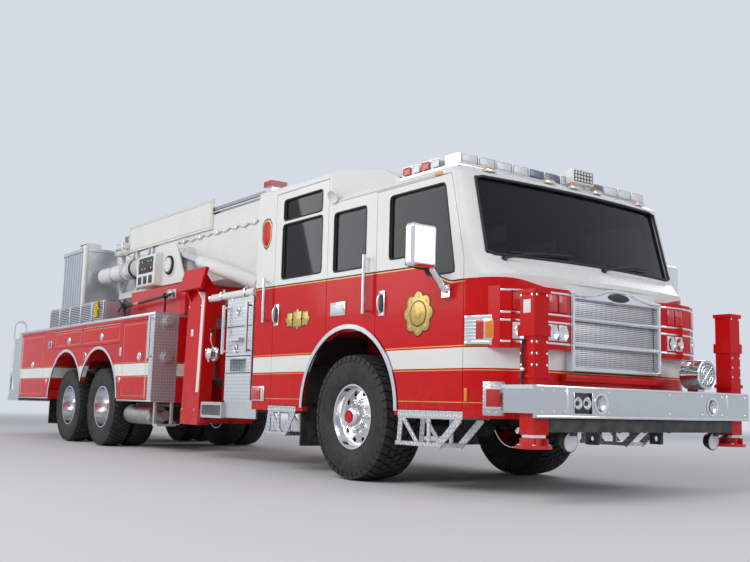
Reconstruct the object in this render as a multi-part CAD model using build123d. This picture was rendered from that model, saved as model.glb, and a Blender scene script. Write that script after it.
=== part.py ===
"""Mid-mount aerial platform fire engine: six-wheel chassis, raised-roof crew cab, body, boom and basket."""
import os

from build123d import *

# All sizes are in millimetres. X is forward, Y to the left, Z up from the ground.
# Lengths along X are taken from the front axle; every piece is moved at the end
# so that the origin is at the middle of the overall length.

# Overall
OVERALL_LENGTH = 12690
FRONT_OVERHANG = 2325
WHEELBASE = 6726
TANDEM_SPREAD = 1364
TAIL_X = FRONT_OVERHANG - OVERALL_LENGTH
TAIL_STEP = 630
AXLE_MID_X = -WHEELBASE
TANDEM_XS = (AXLE_MID_X + TANDEM_SPREAD / 2, AXLE_MID_X - TANDEM_SPREAD / 2)
FACE_GAP = 0.3
RUNNING_FIT = 0.05
PANEL_GAP = 6

# Chassis frame
RAIL_TOP = 930
RAIL_DEPTH = 250
RAIL_OUT_Y = 430
RAIL_FLANGE = 90
RAIL_WEB = 10
RAIL_BOTTOM = RAIL_TOP - RAIL_DEPTH
RAIL_FRONT_X = 1850
RAIL_BACK_X = TAIL_X + TAIL_STEP + 35
CROSS_MEMBER_WIDTH = 100
TOW_PLATE = 30
TOW_EYE_R = 25
CROSS_MEMBER_XS = (1750, -1450, -2250, -3550, AXLE_MID_X + 2026, AXLE_MID_X + 1326, AXLE_MID_X,
                   AXLE_MID_X - 1374, RAIL_BACK_X + 500)

# Wheels
FRONT_TYRE_R = 550
FRONT_TYRE_WIDTH = 420
FRONT_WHEEL_Y = 990
REAR_TYRE_R = 535
REAR_TYRE_WIDTH = 280
DUAL_SPACING = 340
DUAL_Y = 890
RIM_R = 285
RIM_WALL = 13
KINGPIN_Y = 720
KINGPIN_R = 22
SPINDLE_R = 42
REAR_SPINDLE_R = 52

# Cab
CAB_BACK_X = -1680
CAB_HALF_WIDTH = 1237
CAB_WALL = 50
CAB_BOTTOM = 580
CAB_FLOOR_TOP = 1000
CAB_FLOOR = 50
ROOF_SEAM = 2500
CREW_ROOF = 2840
ARCH_R = 705
ARCH_Z = 615
ARCH_TRIM = 40
ARCH_TRIM_PROUD = 14
DOOR_BOTTOM = 625
GLASS = 8

# Body
BODY_FRONT_X = AXLE_MID_X + 2576
BODY_BACK_X = TAIL_X + TAIL_STEP
BODY_HALF_WIDTH = 1263
BODY_INNER_Y = 620
BODY_BOTTOM = 620
BODY_TOP = 1739
BODY_ARCH_R = 740
BODY_ARCH_Z = 590
BODY_DOOR = 42
AFT_ARCH_X = TANDEM_XS[1] - BODY_ARCH_R - ARCH_TRIM
REAR_ROOM = AFT_ARCH_X - BODY_BACK_X
HOUSING_TOP = 2140

# Boom
TURNTABLE_X = -2950
TURNTABLE_TOP = 1880
TURNTABLE_R = 820
TURNTABLE_PLATE = 80
BOOM_PIN_X = TURNTABLE_X + 400
BOOM_PIN_Z = 2560
BOOM_REACH = 4900
BOOM_HALF_WIDTH = 480
BOOM_BOTTOM = 2200
BOOM_TOP = 3090
BOOM_TIP_X = BOOM_PIN_X - BOOM_REACH
RAIL_HEIGHT = 100
SIGN_TOP = BOOM_TOP + 210
BOOM_SIDE = 30
BOOM_PIN_R = 60
CYLINDER_SIDE_GAP = 6


def slab(x0, x1, y0, y1, z0, z1):
    """Box between two corners."""
    centre = ((x0 + x1) / 2, (y0 + y1) / 2, (z0 + z1) / 2)
    return Pos(*centre) * Box(x1 - x0, y1 - y0, z1 - z0)


def prism_y(points, y0, y1):
    """Outline of (x, z) points carried along Y."""
    outline = Polyline(*[(x, y0, z) for x, z in points], close=True)
    return extrude(make_face(outline), amount=y1 - y0, dir=(0, 1, 0))


def prism_x(points, x0, x1):
    """Outline of (y, z) points carried along X."""
    outline = Polyline(*[(x0, y, z) for y, z in points], close=True)
    return extrude(make_face(outline), amount=x1 - x0, dir=(1, 0, 0))


def prism_z(points, z0, z1):
    """Outline of (x, y) points carried along Z."""
    outline = Polyline(*[(x, y, z0) for x, y in points], close=True)
    return extrude(make_face(outline), amount=z1 - z0, dir=(0, 0, 1))


def rod_x(y, z, r, x0, x1):
    return Pos((x0 + x1) / 2, y, z) * Rot(0, 90, 0) * Cylinder(r, x1 - x0)


def rod_y(x, z, r, y0, y1):
    return Pos(x, (y0 + y1) / 2, z) * Rot(90, 0, 0) * Cylinder(r, y1 - y0)


def rod_z(x, y, r, z0, z1):
    return Pos(x, y, (z0 + z1) / 2) * Cylinder(r, z1 - z0)


def rod_between(start, end, r):
    """Round bar from one point to another."""
    path = Line(start, end)
    section = Plane(origin=start, z_dir=path % 0) * Circle(r)
    return extrude(section, amount=path.length)


def turned(profile):
    """Solid of revolution about Z from (radius, height) points."""
    outline = Polyline(*[(r, 0, z) for r, z in profile], close=True)
    return revolve(make_face(outline), axis=Axis.Z)


def mirrored(solid):
    return mirror(solid, about=Plane.XZ)


def fused(solids):
    return solids[0] + solids[1:]


def strip(x0, z0, x1, z1, width, y0, y1):
    """Straight flat bar between two (x, z) points, as wide as asked, carried along Y."""
    length = ((x1 - x0) ** 2 + (z1 - z0) ** 2) ** 0.5
    dx, dz = (z1 - z0) / length * width / 2, -(x1 - x0) / length * width / 2
    return prism_y([(x0 + dx, z0 + dz), (x1 + dx, z1 + dz), (x1 - dx, z1 - dz), (x0 - dx, z0 - dz)], y0, y1)


def pair(solid):
    """The right-hand solid and its left-hand twin, apart from each other."""
    return [solid, mirrored(solid)]


# Chassis

def chassis_frame():
    y_out, y_in, z0, z1 = RAIL_OUT_Y, RAIL_OUT_Y - RAIL_FLANGE, RAIL_BOTTOM, RAIL_TOP
    y_web = y_out - RAIL_WEB
    channel = [(-y_out, z0), (-y_in, z0), (-y_in, z0 + RAIL_WEB), (-y_web, z0 + RAIL_WEB),
               (-y_web, z1 - RAIL_WEB), (-y_in, z1 - RAIL_WEB), (-y_in, z1), (-y_out, z1)]
    rail = prism_x(channel, RAIL_BACK_X, RAIL_FRONT_X)
    horn = slab(RAIL_FRONT_X, JACK_BACK_X, -y_out, -y_in, JACK_BEAM_BOTTOM, DECK_Z)
    frame = fused([rail, mirrored(rail), horn, mirrored(horn)])
    for x in CROSS_MEMBER_XS:
        half = CROSS_MEMBER_WIDTH / 2
        frame += slab(x - half, x + half, -y_web, y_web, z0 + 20, z1 - 30)
    beam = slab(JACK_BACK_X, JACK_BACK_X + JACK_TUBE, -JACK_Y + JACK_TUBE / 2,
                JACK_Y - JACK_TUBE / 2, JACK_BEAM_BOTTOM, JACK_BEAM_BOTTOM + 90)
    frame += beam
    for y in (-RAIL_OUT_Y + 45, RAIL_OUT_Y - 45):
        plate = [(RAIL_BACK_X + 300, z0), (RAIL_BACK_X, z0), (RAIL_BACK_X, 572), (RAIL_BACK_X - 150, 572),
                 (RAIL_BACK_X - 150, 450), (RAIL_BACK_X + 50, 450)]
        frame += prism_y(plate, y - TOW_PLATE / 2, y + TOW_PLATE / 2)
        frame -= rod_y(RAIL_BACK_X - 80, 510, TOW_EYE_R, y - TOW_PLATE, y + TOW_PLATE)
        eye_x = JACK_BACK_X - 80
        frame += slab(eye_x - 55, eye_x + 55, y - TOW_PLATE / 2, y + TOW_PLATE / 2, 400, JACK_BEAM_BOTTOM + 5)
        frame -= rod_y(eye_x, 445, TOW_EYE_R, y - TOW_PLATE, y + TOW_PLATE)
    return [frame]


# Front axle: dropped beam with an eye for each kingpin, and its leaf springs

EYE_R = 45
EYE_HALF_HEIGHT = 70
SPRING_Y = 385


def axle_beam():
    hub = FRONT_TYRE_R
    half = [(0, hub - 170), (480, hub - 170), (560, hub - 50), (KINGPIN_Y - 30, hub - 50),
            (KINGPIN_Y - 30, hub + 50), (600, hub + 50), (520, hub - 70), (0, hub - 70)]
    side = prism_x(half, -50, 50)
    beam = side + mirrored(side)
    spring = slab(-650, 650, SPRING_Y - 45, SPRING_Y + 45, hub - 70, hub)
    for x0, x1 in ((-650, -570), (570, 650)):
        spring += slab(x0, x1, SPRING_Y - 45, SPRING_Y + 45, hub - 10, RAIL_BOTTOM)
    beam = beam + spring + mirrored(spring)
    for y in (-KINGPIN_Y, KINGPIN_Y):
        beam += rod_z(0, y, EYE_R, hub - EYE_HALF_HEIGHT, hub + EYE_HALF_HEIGHT)
        beam -= rod_z(0, y, KINGPIN_R + RUNNING_FIT, hub - 2 * EYE_HALF_HEIGHT, hub + 2 * EYE_HALF_HEIGHT)
    return [beam]


def knuckle():
    """Right steering knuckle: kingpin, two arms, back plate and spindle."""
    hub = FRONT_TYRE_R
    gap = 4
    arm0 = EYE_HALF_HEIGHT + gap
    back_y = KINGPIN_Y + EYE_R + gap
    body = rod_z(0, -KINGPIN_Y, KINGPIN_R, hub - arm0 - 30, hub + arm0 + 30)
    for z0, z1 in ((hub + arm0, hub + arm0 + 30), (hub - arm0 - 30, hub - arm0)):
        body += slab(-45, 45, -back_y - 25, -KINGPIN_Y + 40, z0, z1)
    body += slab(-60, 60, -back_y - 25, -back_y, hub - arm0 - 30, hub + arm0 + 30)
    body += rod_y(0, hub, SPINDLE_R, -FRONT_WHEEL_Y - 110, -back_y)
    return [body]


def tyre(radius, width, bead_r):
    half = width / 2
    return turned([(bead_r, -half * 0.80), (radius * 0.80, -half), (radius - 40, -half * 0.97),
                   (radius, -half * 0.78), (radius, half * 0.78), (radius - 40, half * 0.97),
                   (radius * 0.80, half), (bead_r, half * 0.80)])


NUT_COUNT, NUT_PITCH_R, NUT_R, NUT_HEIGHT = 10, 142, 18, 30
HAND_HOLES, HAND_HOLE_PITCH_R, HAND_HOLE_R = 10, 212, 26


def nut_ring(face):
    """Wheel nuts standing on the disc at a height along the axle."""
    nut = extrude(Pos(0, 0, face) * RegularPolygon(NUT_R, 6), amount=NUT_HEIGHT, dir=(0, 0, 1))
    return [nut_at for nut_at in PolarLocations(NUT_PITCH_R, NUT_COUNT) * nut]


def hand_holes(z0, z1):
    hole = Pos(0, 0, (z0 + z1) / 2) * Cylinder(HAND_HOLE_R, z1 - z0)
    return [hole_at for hole_at in PolarLocations(HAND_HOLE_PITCH_R, HAND_HOLES) * hole]


def front_wheel():
    """Single wheel, axle along Z, outer side up."""
    lip = FRONT_TYRE_WIDTH / 2 * 0.84
    inner = RIM_R - RIM_WALL
    bore = SPINDLE_R + RUNNING_FIT
    rim = turned([(0, 205), (62, 205), (88, 190), (100, 150), (108, 112), (inner - 22, 84), (inner, 112),
                  (inner, lip), (RIM_R, lip), (RIM_R, -lip), (inner, -lip), (inner, 50), (120, 75),
                  (105, 40), (105, -60), (bore, -60), (bore, 118), (0, 118)])
    rim = rim - hand_holes(30, 130) + nut_ring(96)
    return [rim, tyre(FRONT_TYRE_R, FRONT_TYRE_WIDTH, RIM_R + FACE_GAP)]


def dual_wheel():
    """Twin wheel, axle along Z, outer side up."""
    offset = DUAL_SPACING / 2
    lip = offset + REAR_TYRE_WIDTH / 2 * 0.84
    inner = RIM_R - RIM_WALL
    bore = REAR_SPINDLE_R + RUNNING_FIT
    rim = turned([(0, 178), (60, 178), (86, 160), (98, 120), (106, 40), (122, 22), (inner - 24, 15),
                  (inner, 45),
                  (inner, lip), (RIM_R, lip), (RIM_R, -lip), (inner, -lip), (inner, -15), (110, -15),
                  (110, -120), (bore, -120), (bore, 100), (0, 100)])
    rim = rim - hand_holes(-30, 60) + nut_ring(10)
    outer = tyre(REAR_TYRE_R, REAR_TYRE_WIDTH, RIM_R + FACE_GAP)
    return [rim, Pos(0, 0, offset) * outer, Pos(0, 0, -offset) * outer]


def placed_wheel(solids, x, y, z):
    """Turn a wheel's outer side to the right at negative y, to the left at positive y."""
    turn = Rot(90, 0, 0) if y < 0 else Rot(-90, 0, 0)
    return [Pos(x, y, z) * turn * solid for solid in solids]


DIFF_R = 190


def tandem_axles():
    hub = REAR_TYRE_R
    solids = []
    for x in TANDEM_XS:
        solids.append(rod_y(x, hub, 65, -560, 560) + Pos(x, 0, hub) * Sphere(DIFF_R)
                      + rod_y(x, hub, REAR_SPINDLE_R, -DUAL_Y - 95, DUAL_Y + 95))
    beam = slab(TANDEM_XS[1] - 60, TANDEM_XS[0] + 60, SPRING_Y - 45, SPRING_Y + 45, hub + 55, hub + 105)
    beam += slab(-WHEELBASE - 160, -WHEELBASE + 160, SPRING_Y - 45, SPRING_Y + 45, hub + 105, RAIL_BOTTOM)
    return [fused(solids + [beam, mirrored(beam)])]


# Powertrain: engine and gearbox as plain heavy blocks, with the propeller shafts

ENGINE_FRONT_X, ENGINE_BACK_X = 1350, -150
ENGINE_HALF_WIDTH = 300
ENGINE_BOTTOM, ENGINE_TOP = 560, 1430
GEARBOX_BACK_X = -1000


def powertrain():
    engine = slab(ENGINE_BACK_X, ENGINE_FRONT_X, -ENGINE_HALF_WIDTH, ENGINE_HALF_WIDTH,
                  ENGINE_BOTTOM, ENGINE_TOP)
    web = RAIL_OUT_Y - RAIL_WEB
    for x in (200, 1000):
        engine += slab(x, x + 100, -web, web, RAIL_BOTTOM + 20, RAIL_BOTTOM + 80)
    engine += slab(GEARBOX_BACK_X, ENGINE_BACK_X, -210, 210, ENGINE_BOTTOM, 920)
    engine += rod_x(0, REAR_TYRE_R + 40, 50, TANDEM_XS[0] + DIFF_R + FACE_GAP, GEARBOX_BACK_X)
    return [engine, muffler()]


MUFFLER_Y, MUFFLER_Z, MUFFLER_R = -985, 455, 125


def muffler():
    """Exhaust box slung under the right side of the body, with its pipe out to the side."""
    x1 = BODY_FRONT_X - 420
    x0 = x1 - 820
    box = rod_x(MUFFLER_Y, MUFFLER_Z, MUFFLER_R, x0, x1)
    pipe = rod_x(MUFFLER_Y, MUFFLER_Z, 62, x1 - 10, x1 + 260)
    pipe += rod_y(x1 + 200, MUFFLER_Z, 54, -1200, MUFFLER_Y)
    for x in (x0 + 120, x1 - 160):
        box += slab(x, x + 40, MUFFLER_Y, -RAIL_OUT_Y + 60, 560, 600)
        box += slab(x, x + 40, -RAIL_OUT_Y + 5, -RAIL_OUT_Y + 60, 560, RAIL_BOTTOM - FACE_GAP)
    return box + pipe


# Cab: a lofted hull, its wall thickness taken inside, then split where the panels meet

# height, straight side ends at x, corner middle x and y, corner end x and y, front middle x, half width
CAB_SECTIONS = (
    (CAB_BOTTOM, 1550, 1765, 1130, 1880, 880, 1950, CAB_HALF_WIDTH),
    (1660, 1550, 1765, 1130, 1880, 880, 1950, CAB_HALF_WIDTH),
    (1790, 1545, 1612, 1213, 1660, 1150, 1790, CAB_HALF_WIDTH),
    (ROOF_SEAM, 1395, 1447, 1217, 1482, 1160, 1560, CAB_HALF_WIDTH),
    (2560, 1310, 1360, 1158, 1392, 1100, 1450, CAB_HALF_WIDTH - 57),
)
CREW_ROOF_FRONT_X = 60
ROOF_STEP_X = 430
ROOF_EDGE_R = 55
HUMP_SIDE_X = -330
HUMP_CORNER = (150, 860)
HUMP_FRONT_DROP = 28
HUMP_FOOT_Z = 2560


def cab_section(row, inset):
    z, side_x, mid_x, mid_y, end_x, end_y, front_x, half = row
    back = CAB_BACK_X + inset
    half -= inset
    mid_x, mid_y = mid_x - 0.7 * inset, mid_y - 0.7 * inset
    end_x, end_y = end_x - 0.94 * inset, end_y - 0.34 * inset
    front_x -= inset
    side = Line((back, -half, z), (side_x, -half, z))
    corner = ThreePointArc((side_x, -half, z), (mid_x, -mid_y, z), (end_x, -end_y, z))
    front = ThreePointArc((end_x, -end_y, z), (front_x, 0, z), (end_x, end_y, z))
    corner2 = ThreePointArc((end_x, end_y, z), (mid_x, mid_y, z), (side_x, half, z))
    side2 = Line((side_x, half, z), (back, half, z))
    rear = Line((back, half, z), (back, -half, z))
    return make_face([side, corner, front, corner2, side2, rear])


def cab_hull(inset, bottom):
    rows = [list(row) for row in CAB_SECTIONS]
    rows[0][0] = bottom
    rows[-1][0] -= inset
    hull = loft([cab_section(row, inset) for row in rows], ruled=True)
    top = CREW_ROOF - inset
    half = CAB_HALF_WIDTH - inset
    profile = [(CAB_BACK_X + inset, ROOF_SEAM - 60), (CAB_BACK_X + inset, top),
               (CREW_ROOF_FRONT_X - inset * 0.8, top - HUMP_FRONT_DROP),
               (ROOF_STEP_X - inset * 0.8, HUMP_FOOT_Z - inset), (ROOF_STEP_X - inset * 0.8, ROOF_SEAM - 60)]
    crew = prism_y(profile, -half, half)
    edges = [e for e in crew.edges() if abs(e.center().Y) > half - 1 and e.center().Z > ROOF_SEAM
             and abs((e % 0.5).X) > 0.5]
    crew = fillet(edges, (ROOF_EDGE_R - inset * 0.5))
    x0, y0 = HUMP_SIDE_X - 0.6 * inset, CAB_HALF_WIDTH - 0.2 * inset
    x1, y1 = HUMP_CORNER[0] - 0.6 * inset, HUMP_CORNER[1] - 0.8 * inset
    for side in (-1, 1):
        wedge = [(x0, side * (y0 + 5)), (x1, side * y1), (900, side * (y1 - 60)), (900, side * 1400),
                 (x0, side * 1400)]
        crew -= prism_z(wedge, ROOF_SEAM - 100, CREW_ROOF + 50)
    return hull + crew


def arch_opening(radius, y0, y1):
    return rod_y(0, ARCH_Z, radius, y0, y1) + slab(-radius, radius, y0, y1, 0, ARCH_Z)


FRONT_DOOR = [(400, DOOR_BOTTOM), (1533, DOOR_BOTTOM), (1533, 1800), (1378, 2490), (400, 2490)]
CREW_DOOR = [(-1317, DOOR_BOTTOM), (-355, DOOR_BOTTOM), (-355, 2750), (-1317, 2750)]
FRONT_WINDOW = [(585, 1875), (980, 1875), (1090, 1690), (1425, 1690), (1300, 2420), (585, 2420)]
CREW_WINDOW = [(-1180, 1870), (-460, 1870), (-460, 2420), (-1180, 2420)]
VISTA_WINDOW = [(-1170, 2460), (-470, 2460), (-470, 2670), (-1170, 2670)]
FIXED_WINDOW = [(-260, 1850), (245, 1850), (245, 2400), (-260, 2400)]
WINDSHIELD = [(-1120, 1825), (1120, 1825), (1105, 2465), (-1105, 2465)]
GRILLE_SEAT_X = 1922
GRILLE_HALF = 545


def inset_outline(points, gap):
    """Outline drawn in by a gap all round."""
    face = make_face(Polyline(*points, close=True))
    smaller = offset(face, amount=-gap, kind=Kind.INTERSECTION).face()
    corners = [edge @ 0 for edge in smaller.outer_wire().order_edges()]
    return [(corner.X, corner.Y) for corner in corners]


def side_cut(points):
    """Right-hand side wall cut right through."""
    return prism_y(points, -CAB_HALF_WIDTH - 40, -CAB_HALF_WIDTH + CAB_WALL + 20)


def cab_shell():
    return cab_hull(0, CAB_BOTTOM) - cab_hull(CAB_WALL, CAB_BOTTOM - 50)


CREW_SIDE_TOP = CREW_ROOF - 68
ROOF_ZONE = [(-1750, CREW_SIDE_TOP), (-340, CREW_SIDE_TOP), (-340, ROOF_SEAM), (1750, ROOF_SEAM),
             (1750, 2950), (-1750, 2950)]
HUMP_WINDOW = [(-820, 2650), (-180, 2650), (-180, 2745), (-820, 2745)]
STEP_SPANS = ((750, 1535), (-1346, -830))
STEP_TOP = DOOR_BOTTOM
FRONT_ZONE = [(1540, 400), (1540, 1800), (1385, ROOF_SEAM), (2150, ROOF_SEAM), (2150, 400)]


def cab_panels():
    """Roof, front, back and side panels of the cab, each as thick as the wall."""
    shell = cab_shell()
    wide = CAB_HALF_WIDTH + 60
    middle = CAB_HALF_WIDTH - CAB_WALL
    roof_zone = prism_y(ROOF_ZONE, -wide, wide)
    roof_zone += slab(CAB_BACK_X + CAB_WALL, 1750, -middle, middle, ROOF_SEAM, 2950)
    front_zone = prism_y(FRONT_ZONE, -wide, wide)
    half = CAB_HALF_WIDTH - CAB_WALL
    back_zone = slab(CAB_BACK_X - 50, CAB_BACK_X + CAB_WALL, -half, half, 400, CREW_SIDE_TOP)
    roof = shell & roof_zone
    for y_side in (-1, 1):
        window = [(y_side * y, z) for y, z in HUMP_WINDOW]
        roof -= prism_x(window, CREW_ROOF_FRONT_X - 60, ROOF_STEP_X + 100)
    front = shell & front_zone
    back = shell & back_zone
    side = (shell - roof_zone - front_zone - back_zone) & slab(-1800, 1700, -wide, 0, 400, 2900)
    seat = GRILLE_HALF + 5
    front -= slab(GRILLE_SEAT_X, 2100, -seat, seat, 900, 1625)
    front -= prism_x(WINDSHIELD, 1300, 2200)
    rail_way = RAIL_OUT_Y + 12
    back -= slab(CAB_BACK_X - 50, CAB_BACK_X + CAB_WALL + 10, -rail_way, rail_way, 400, RAIL_TOP + 15)
    front -= slab(1800, 2100, -rail_way, rail_way, 400, DECK_Z + 5)
    side -= arch_opening(ARCH_R, -wide, -half + 10)
    for outline in (FIXED_WINDOW, FRONT_DOOR, CREW_DOOR):
        side -= side_cut(outline)
    for x0, x1 in STEP_SPANS:
        side -= slab(x0 - FACE_GAP, x1 + FACE_GAP, -wide, -half + 10, CAB_BOTTOM - 10, STEP_TOP + FACE_GAP)
    return roof, front, back, side


def door_blank(points):
    """Right-hand door: the side wall within the opening, less the gap and the arch."""
    half = CAB_HALF_WIDTH - CAB_WALL
    blank = prism_y(inset_outline(points, PANEL_GAP), -CAB_HALF_WIDTH, -half)
    return blank - arch_opening(ARCH_R + ARCH_TRIM + PANEL_GAP, -CAB_HALF_WIDTH - 20, -half + 20)


def pane(points):
    """Glass set in the middle of the wall, a hair smaller than its opening."""
    y = -CAB_HALF_WIDTH + CAB_WALL / 2
    return prism_y(inset_outline(points, FACE_GAP), y - GLASS / 2, y + GLASS / 2)


def cab_glass():
    depth = CAB_WALL / 2
    rows = CAB_SECTIONS[2:4]
    outer = loft([cab_section(row, depth - GLASS / 2) for row in rows], ruled=True)
    inner = loft([cab_section(row, depth + GLASS / 2) for row in rows], ruled=True)
    screen = (outer - inner) & prism_x(inset_outline(WINDSHIELD, FACE_GAP), 1350, 2100)
    return [screen] + pair(pane(FIXED_WINDOW)) + pair(hump_pane())


def hump_pane():
    """Glass in the sloping front of the raised roof."""
    run, drop = ROOF_STEP_X - CREW_ROOF_FRONT_X, CREW_ROOF - HUMP_FRONT_DROP - HUMP_FOOT_Z
    slope = run / drop
    middle = CAB_WALL / 2 * (run * run + drop * drop) ** 0.5 / drop
    z0, z1 = HUMP_WINDOW[0][1] + FACE_GAP, HUMP_WINDOW[2][1] - FACE_GAP
    x0, x1 = [CREW_ROOF_FRONT_X + (CREW_ROOF - HUMP_FRONT_DROP - z) * slope - middle for z in (z0, z1)]
    half = GLASS * 0.9
    y0, y1 = HUMP_WINDOW[0][0] + FACE_GAP, HUMP_WINDOW[1][0] - FACE_GAP
    return prism_y([(x0 - half, z0), (x0 + half, z0), (x1 + half, z1), (x1 - half, z1)], y0, y1)


# Cab floor, engine cover and wheel boxes

WHEEL_BOX_X = 820
WHEEL_BOX_TOP = 1320
WHEEL_BOX_WALL = 20
FLAP_BOTTOM = 255
TUNNEL_HALF = 410
TUNNEL_TOP = 1500
TUNNEL_BACK_X, TUNNEL_FRONT_X = -300, 1500


def cab_floor():
    section = cab_section((CAB_FLOOR_TOP - CAB_FLOOR, *CAB_SECTIONS[0][1:]), CAB_WALL)
    floor = extrude(section, amount=CAB_FLOOR, dir=(0, 0, 1))
    half = CAB_HALF_WIDTH - CAB_WALL
    t = WHEEL_BOX_WALL
    box = slab(-WHEEL_BOX_X, WHEEL_BOX_X, -half, -RAIL_OUT_Y, 640, WHEEL_BOX_TOP)
    inside = slab(-WHEEL_BOX_X + t, WHEEL_BOX_X - t, -half - 10, -RAIL_OUT_Y + 10, 500, WHEEL_BOX_TOP - t)
    inner_wall = slab(-WHEEL_BOX_X, WHEEL_BOX_X, -RAIL_OUT_Y, -RAIL_OUT_Y + t, RAIL_TOP + 20, WHEEL_BOX_TOP)
    hole = slab(-WHEEL_BOX_X + t, WHEEL_BOX_X - t, -half - 10, -RAIL_OUT_Y, 500, WHEEL_BOX_TOP - t)
    boxes = (box - inside) + inner_wall
    floor = floor - hole - mirrored(hole) + boxes + mirrored(boxes)
    tunnel = slab(TUNNEL_BACK_X, TUNNEL_FRONT_X, -TUNNEL_HALF, TUNNEL_HALF,
                  CAB_FLOOR_TOP - CAB_FLOOR, TUNNEL_TOP)
    bay = slab(TUNNEL_BACK_X + t, TUNNEL_FRONT_X - t, -TUNNEL_HALF + t, TUNNEL_HALF - t, 500, TUNNEL_TOP - t)
    flap = slab(-WHEEL_BOX_X, -WHEEL_BOX_X + t, -half + FACE_GAP, -640, FLAP_BOTTOM, 660)
    return [floor + tunnel - bay + flap + mirrored(flap)]


def cab_seats():
    """Two front seats and four crew seats, cushion, back and headrest in one."""
    seats = []
    front_x, crew_x = 330, -1480
    for y in (-830, 830):
        seats.append(seat(front_x, y, WHEEL_BOX_TOP, 50))
    for y in (-900, -330, 330, 900):
        seats.append(seat(crew_x, y, CAB_FLOOR_TOP, 300))
    return seats


def seat(x, y, floor, base_height):
    """Seat on its pedestal, facing forward; x is the back of the cushion."""
    base = slab(x + 80, x + 380, y - 180, y + 180, floor, floor + base_height)
    z = floor + base_height
    cushion = slab(x, x + 480, y - 240, y + 240, z, z + 120)
    back = prism_y([(x, z + 120), (x + 110, z + 120), (x + 20, z + 730), (x - 70, z + 730)], y - 230, y + 230)
    return base + cushion + back


def dashboard():
    desk = prism_y([(1200, 1560), (1440, 1560), (1440, 1700), (1350, 1790), (1260, 1770)], -1150, 1150)
    leg = slab(1300, 1440, -1150, 1150, CAB_FLOOR_TOP, 1560)
    leg -= slab(1200, 1500, -TUNNEL_HALF - FACE_GAP, TUNNEL_HALF + FACE_GAP, 900, TUNNEL_TOP + FACE_GAP)
    desk = desk + leg
    wheel = Pos(1060, 780, 1740) * Rot(0, -35, 0) * (Torus(220, 16) + Cylinder(60, 24) + Box(430, 40, 14)
                                                    + Box(40, 430, 14))
    column = rod_between((1060, 780, 1740), (1300, 780, 1650), 30)
    return [desk + wheel + column]


# Front end

DECK_Z = 800
BUMPER_BOTTOM, BUMPER_TOP = 598, 824
BUMPER_HALF = 1270
BUMPER_FACE = 40
BUMPER_LAMP_Z = 705
BUMPER_LAMP_R = 66
BUMPER_LAMP_YS = (-603, 755)
BUMPER_POCKET_Y0, BUMPER_POCKET_Y1 = -900, -695
BUMPER_POCKET_DEPTH = 26
JACK_TUBE = 140
JACK_WALL = 12
JACK_X = 2200
JACK_Y = 1170
JACK_BACK_X = JACK_X - JACK_TUBE / 2
JACK_BEAM_BOTTOM = 500
JACK_TOP = 1492
JACK_LEG = JACK_TUBE - 2 * JACK_WALL - 2 * FACE_GAP
JACK_FOOT_Z = 385


def bumper():
    x1 = FRONT_OVERHANG
    x0 = x1 - BUMPER_FACE
    face = slab(x0, x1, -BUMPER_HALF, BUMPER_HALF, BUMPER_BOTTOM, BUMPER_TOP)
    pocket_x = x1 - BUMPER_POCKET_DEPTH
    for y in BUMPER_LAMP_YS:
        face -= rod_x(y, BUMPER_LAMP_Z, BUMPER_LAMP_R, pocket_x, x1 + 10)
    face -= slab(pocket_x, x1 + 10, BUMPER_POCKET_Y0, BUMPER_POCKET_Y1,
                 BUMPER_LAMP_Z - 75, BUMPER_LAMP_Z + 75)
    side = slab(2000, x0, -BUMPER_HALF, -BUMPER_HALF + 20, BUMPER_BOTTOM + 30, BUMPER_TOP)
    deck = slab(1975, x0, -BUMPER_HALF, BUMPER_HALF, DECK_Z, BUMPER_TOP)
    notch = JACK_TUBE / 2 + 3
    hole = slab(JACK_X - notch, JACK_X + notch, -JACK_Y - notch, -JACK_Y + notch, 500, 900)
    return [face + side + mirrored(side) + deck - hole - mirrored(hole) + siren()]


SIREN_Y, SIREN_R = 740, 122


def siren():
    """Drum siren standing on the bumper deck, its mouth to the front."""
    z = BUMPER_TOP + 140
    profile = [(0, 0), (60, 0), (75, 30), (SIREN_R - 6, 40), (SIREN_R - 6, 120), (SIREN_R, 128),
               (SIREN_R, 215), (SIREN_R - 10, 225), (SIREN_R - 22, 225), (SIREN_R - 30, 195),
               (45, 195), (30, 215), (0, 215)]
    drum = Pos(2065, SIREN_Y, z) * Rot(0, 90, 0) * turned(profile)
    foot = slab(2130, 2230, SIREN_Y - 45, SIREN_Y + 45, BUMPER_TOP - 5, z - 80)
    return drum + foot


def jack_columns():
    half = JACK_TUBE / 2
    column = slab(JACK_X - half, JACK_X + half, -JACK_Y - half, -JACK_Y + half,
                  JACK_BEAM_BOTTOM - 20, JACK_TOP)
    hollow = half - JACK_WALL
    column -= slab(JACK_X - hollow, JACK_X + hollow, -JACK_Y - hollow, -JACK_Y + hollow,
                   400, JACK_TOP - JACK_WALL)
    for z0, z1 in ((JACK_TOP - 30, JACK_TOP), (JACK_TOP - 330, JACK_TOP - 250), (870, 900)):
        edge = half + 12
        collar = slab(JACK_X - edge, JACK_X + edge, -JACK_Y - edge, -JACK_Y + edge, z0, z1)
        column += collar - slab(JACK_X - hollow - 5, JACK_X + hollow + 5, -JACK_Y - hollow - 5,
                                -JACK_Y + hollow + 5, 400, JACK_TOP - JACK_WALL)
    return pair(column)


def jack_leg():
    half = JACK_LEG / 2
    leg = slab(JACK_X - half, JACK_X + half, -JACK_Y - half, -JACK_Y + half, JACK_FOOT_Z + 20, JACK_TOP - 40)
    foot = rod_z(JACK_X, -JACK_Y, 125, JACK_FOOT_Z, JACK_FOOT_Z + 25)
    for y in (-50, 38):
        foot += slab(JACK_X - 90, JACK_X + 90, -JACK_Y + y, -JACK_Y + y + 12,
                     JACK_FOOT_Z + 20, JACK_FOOT_Z + 70)
    return [leg + foot]


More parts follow.
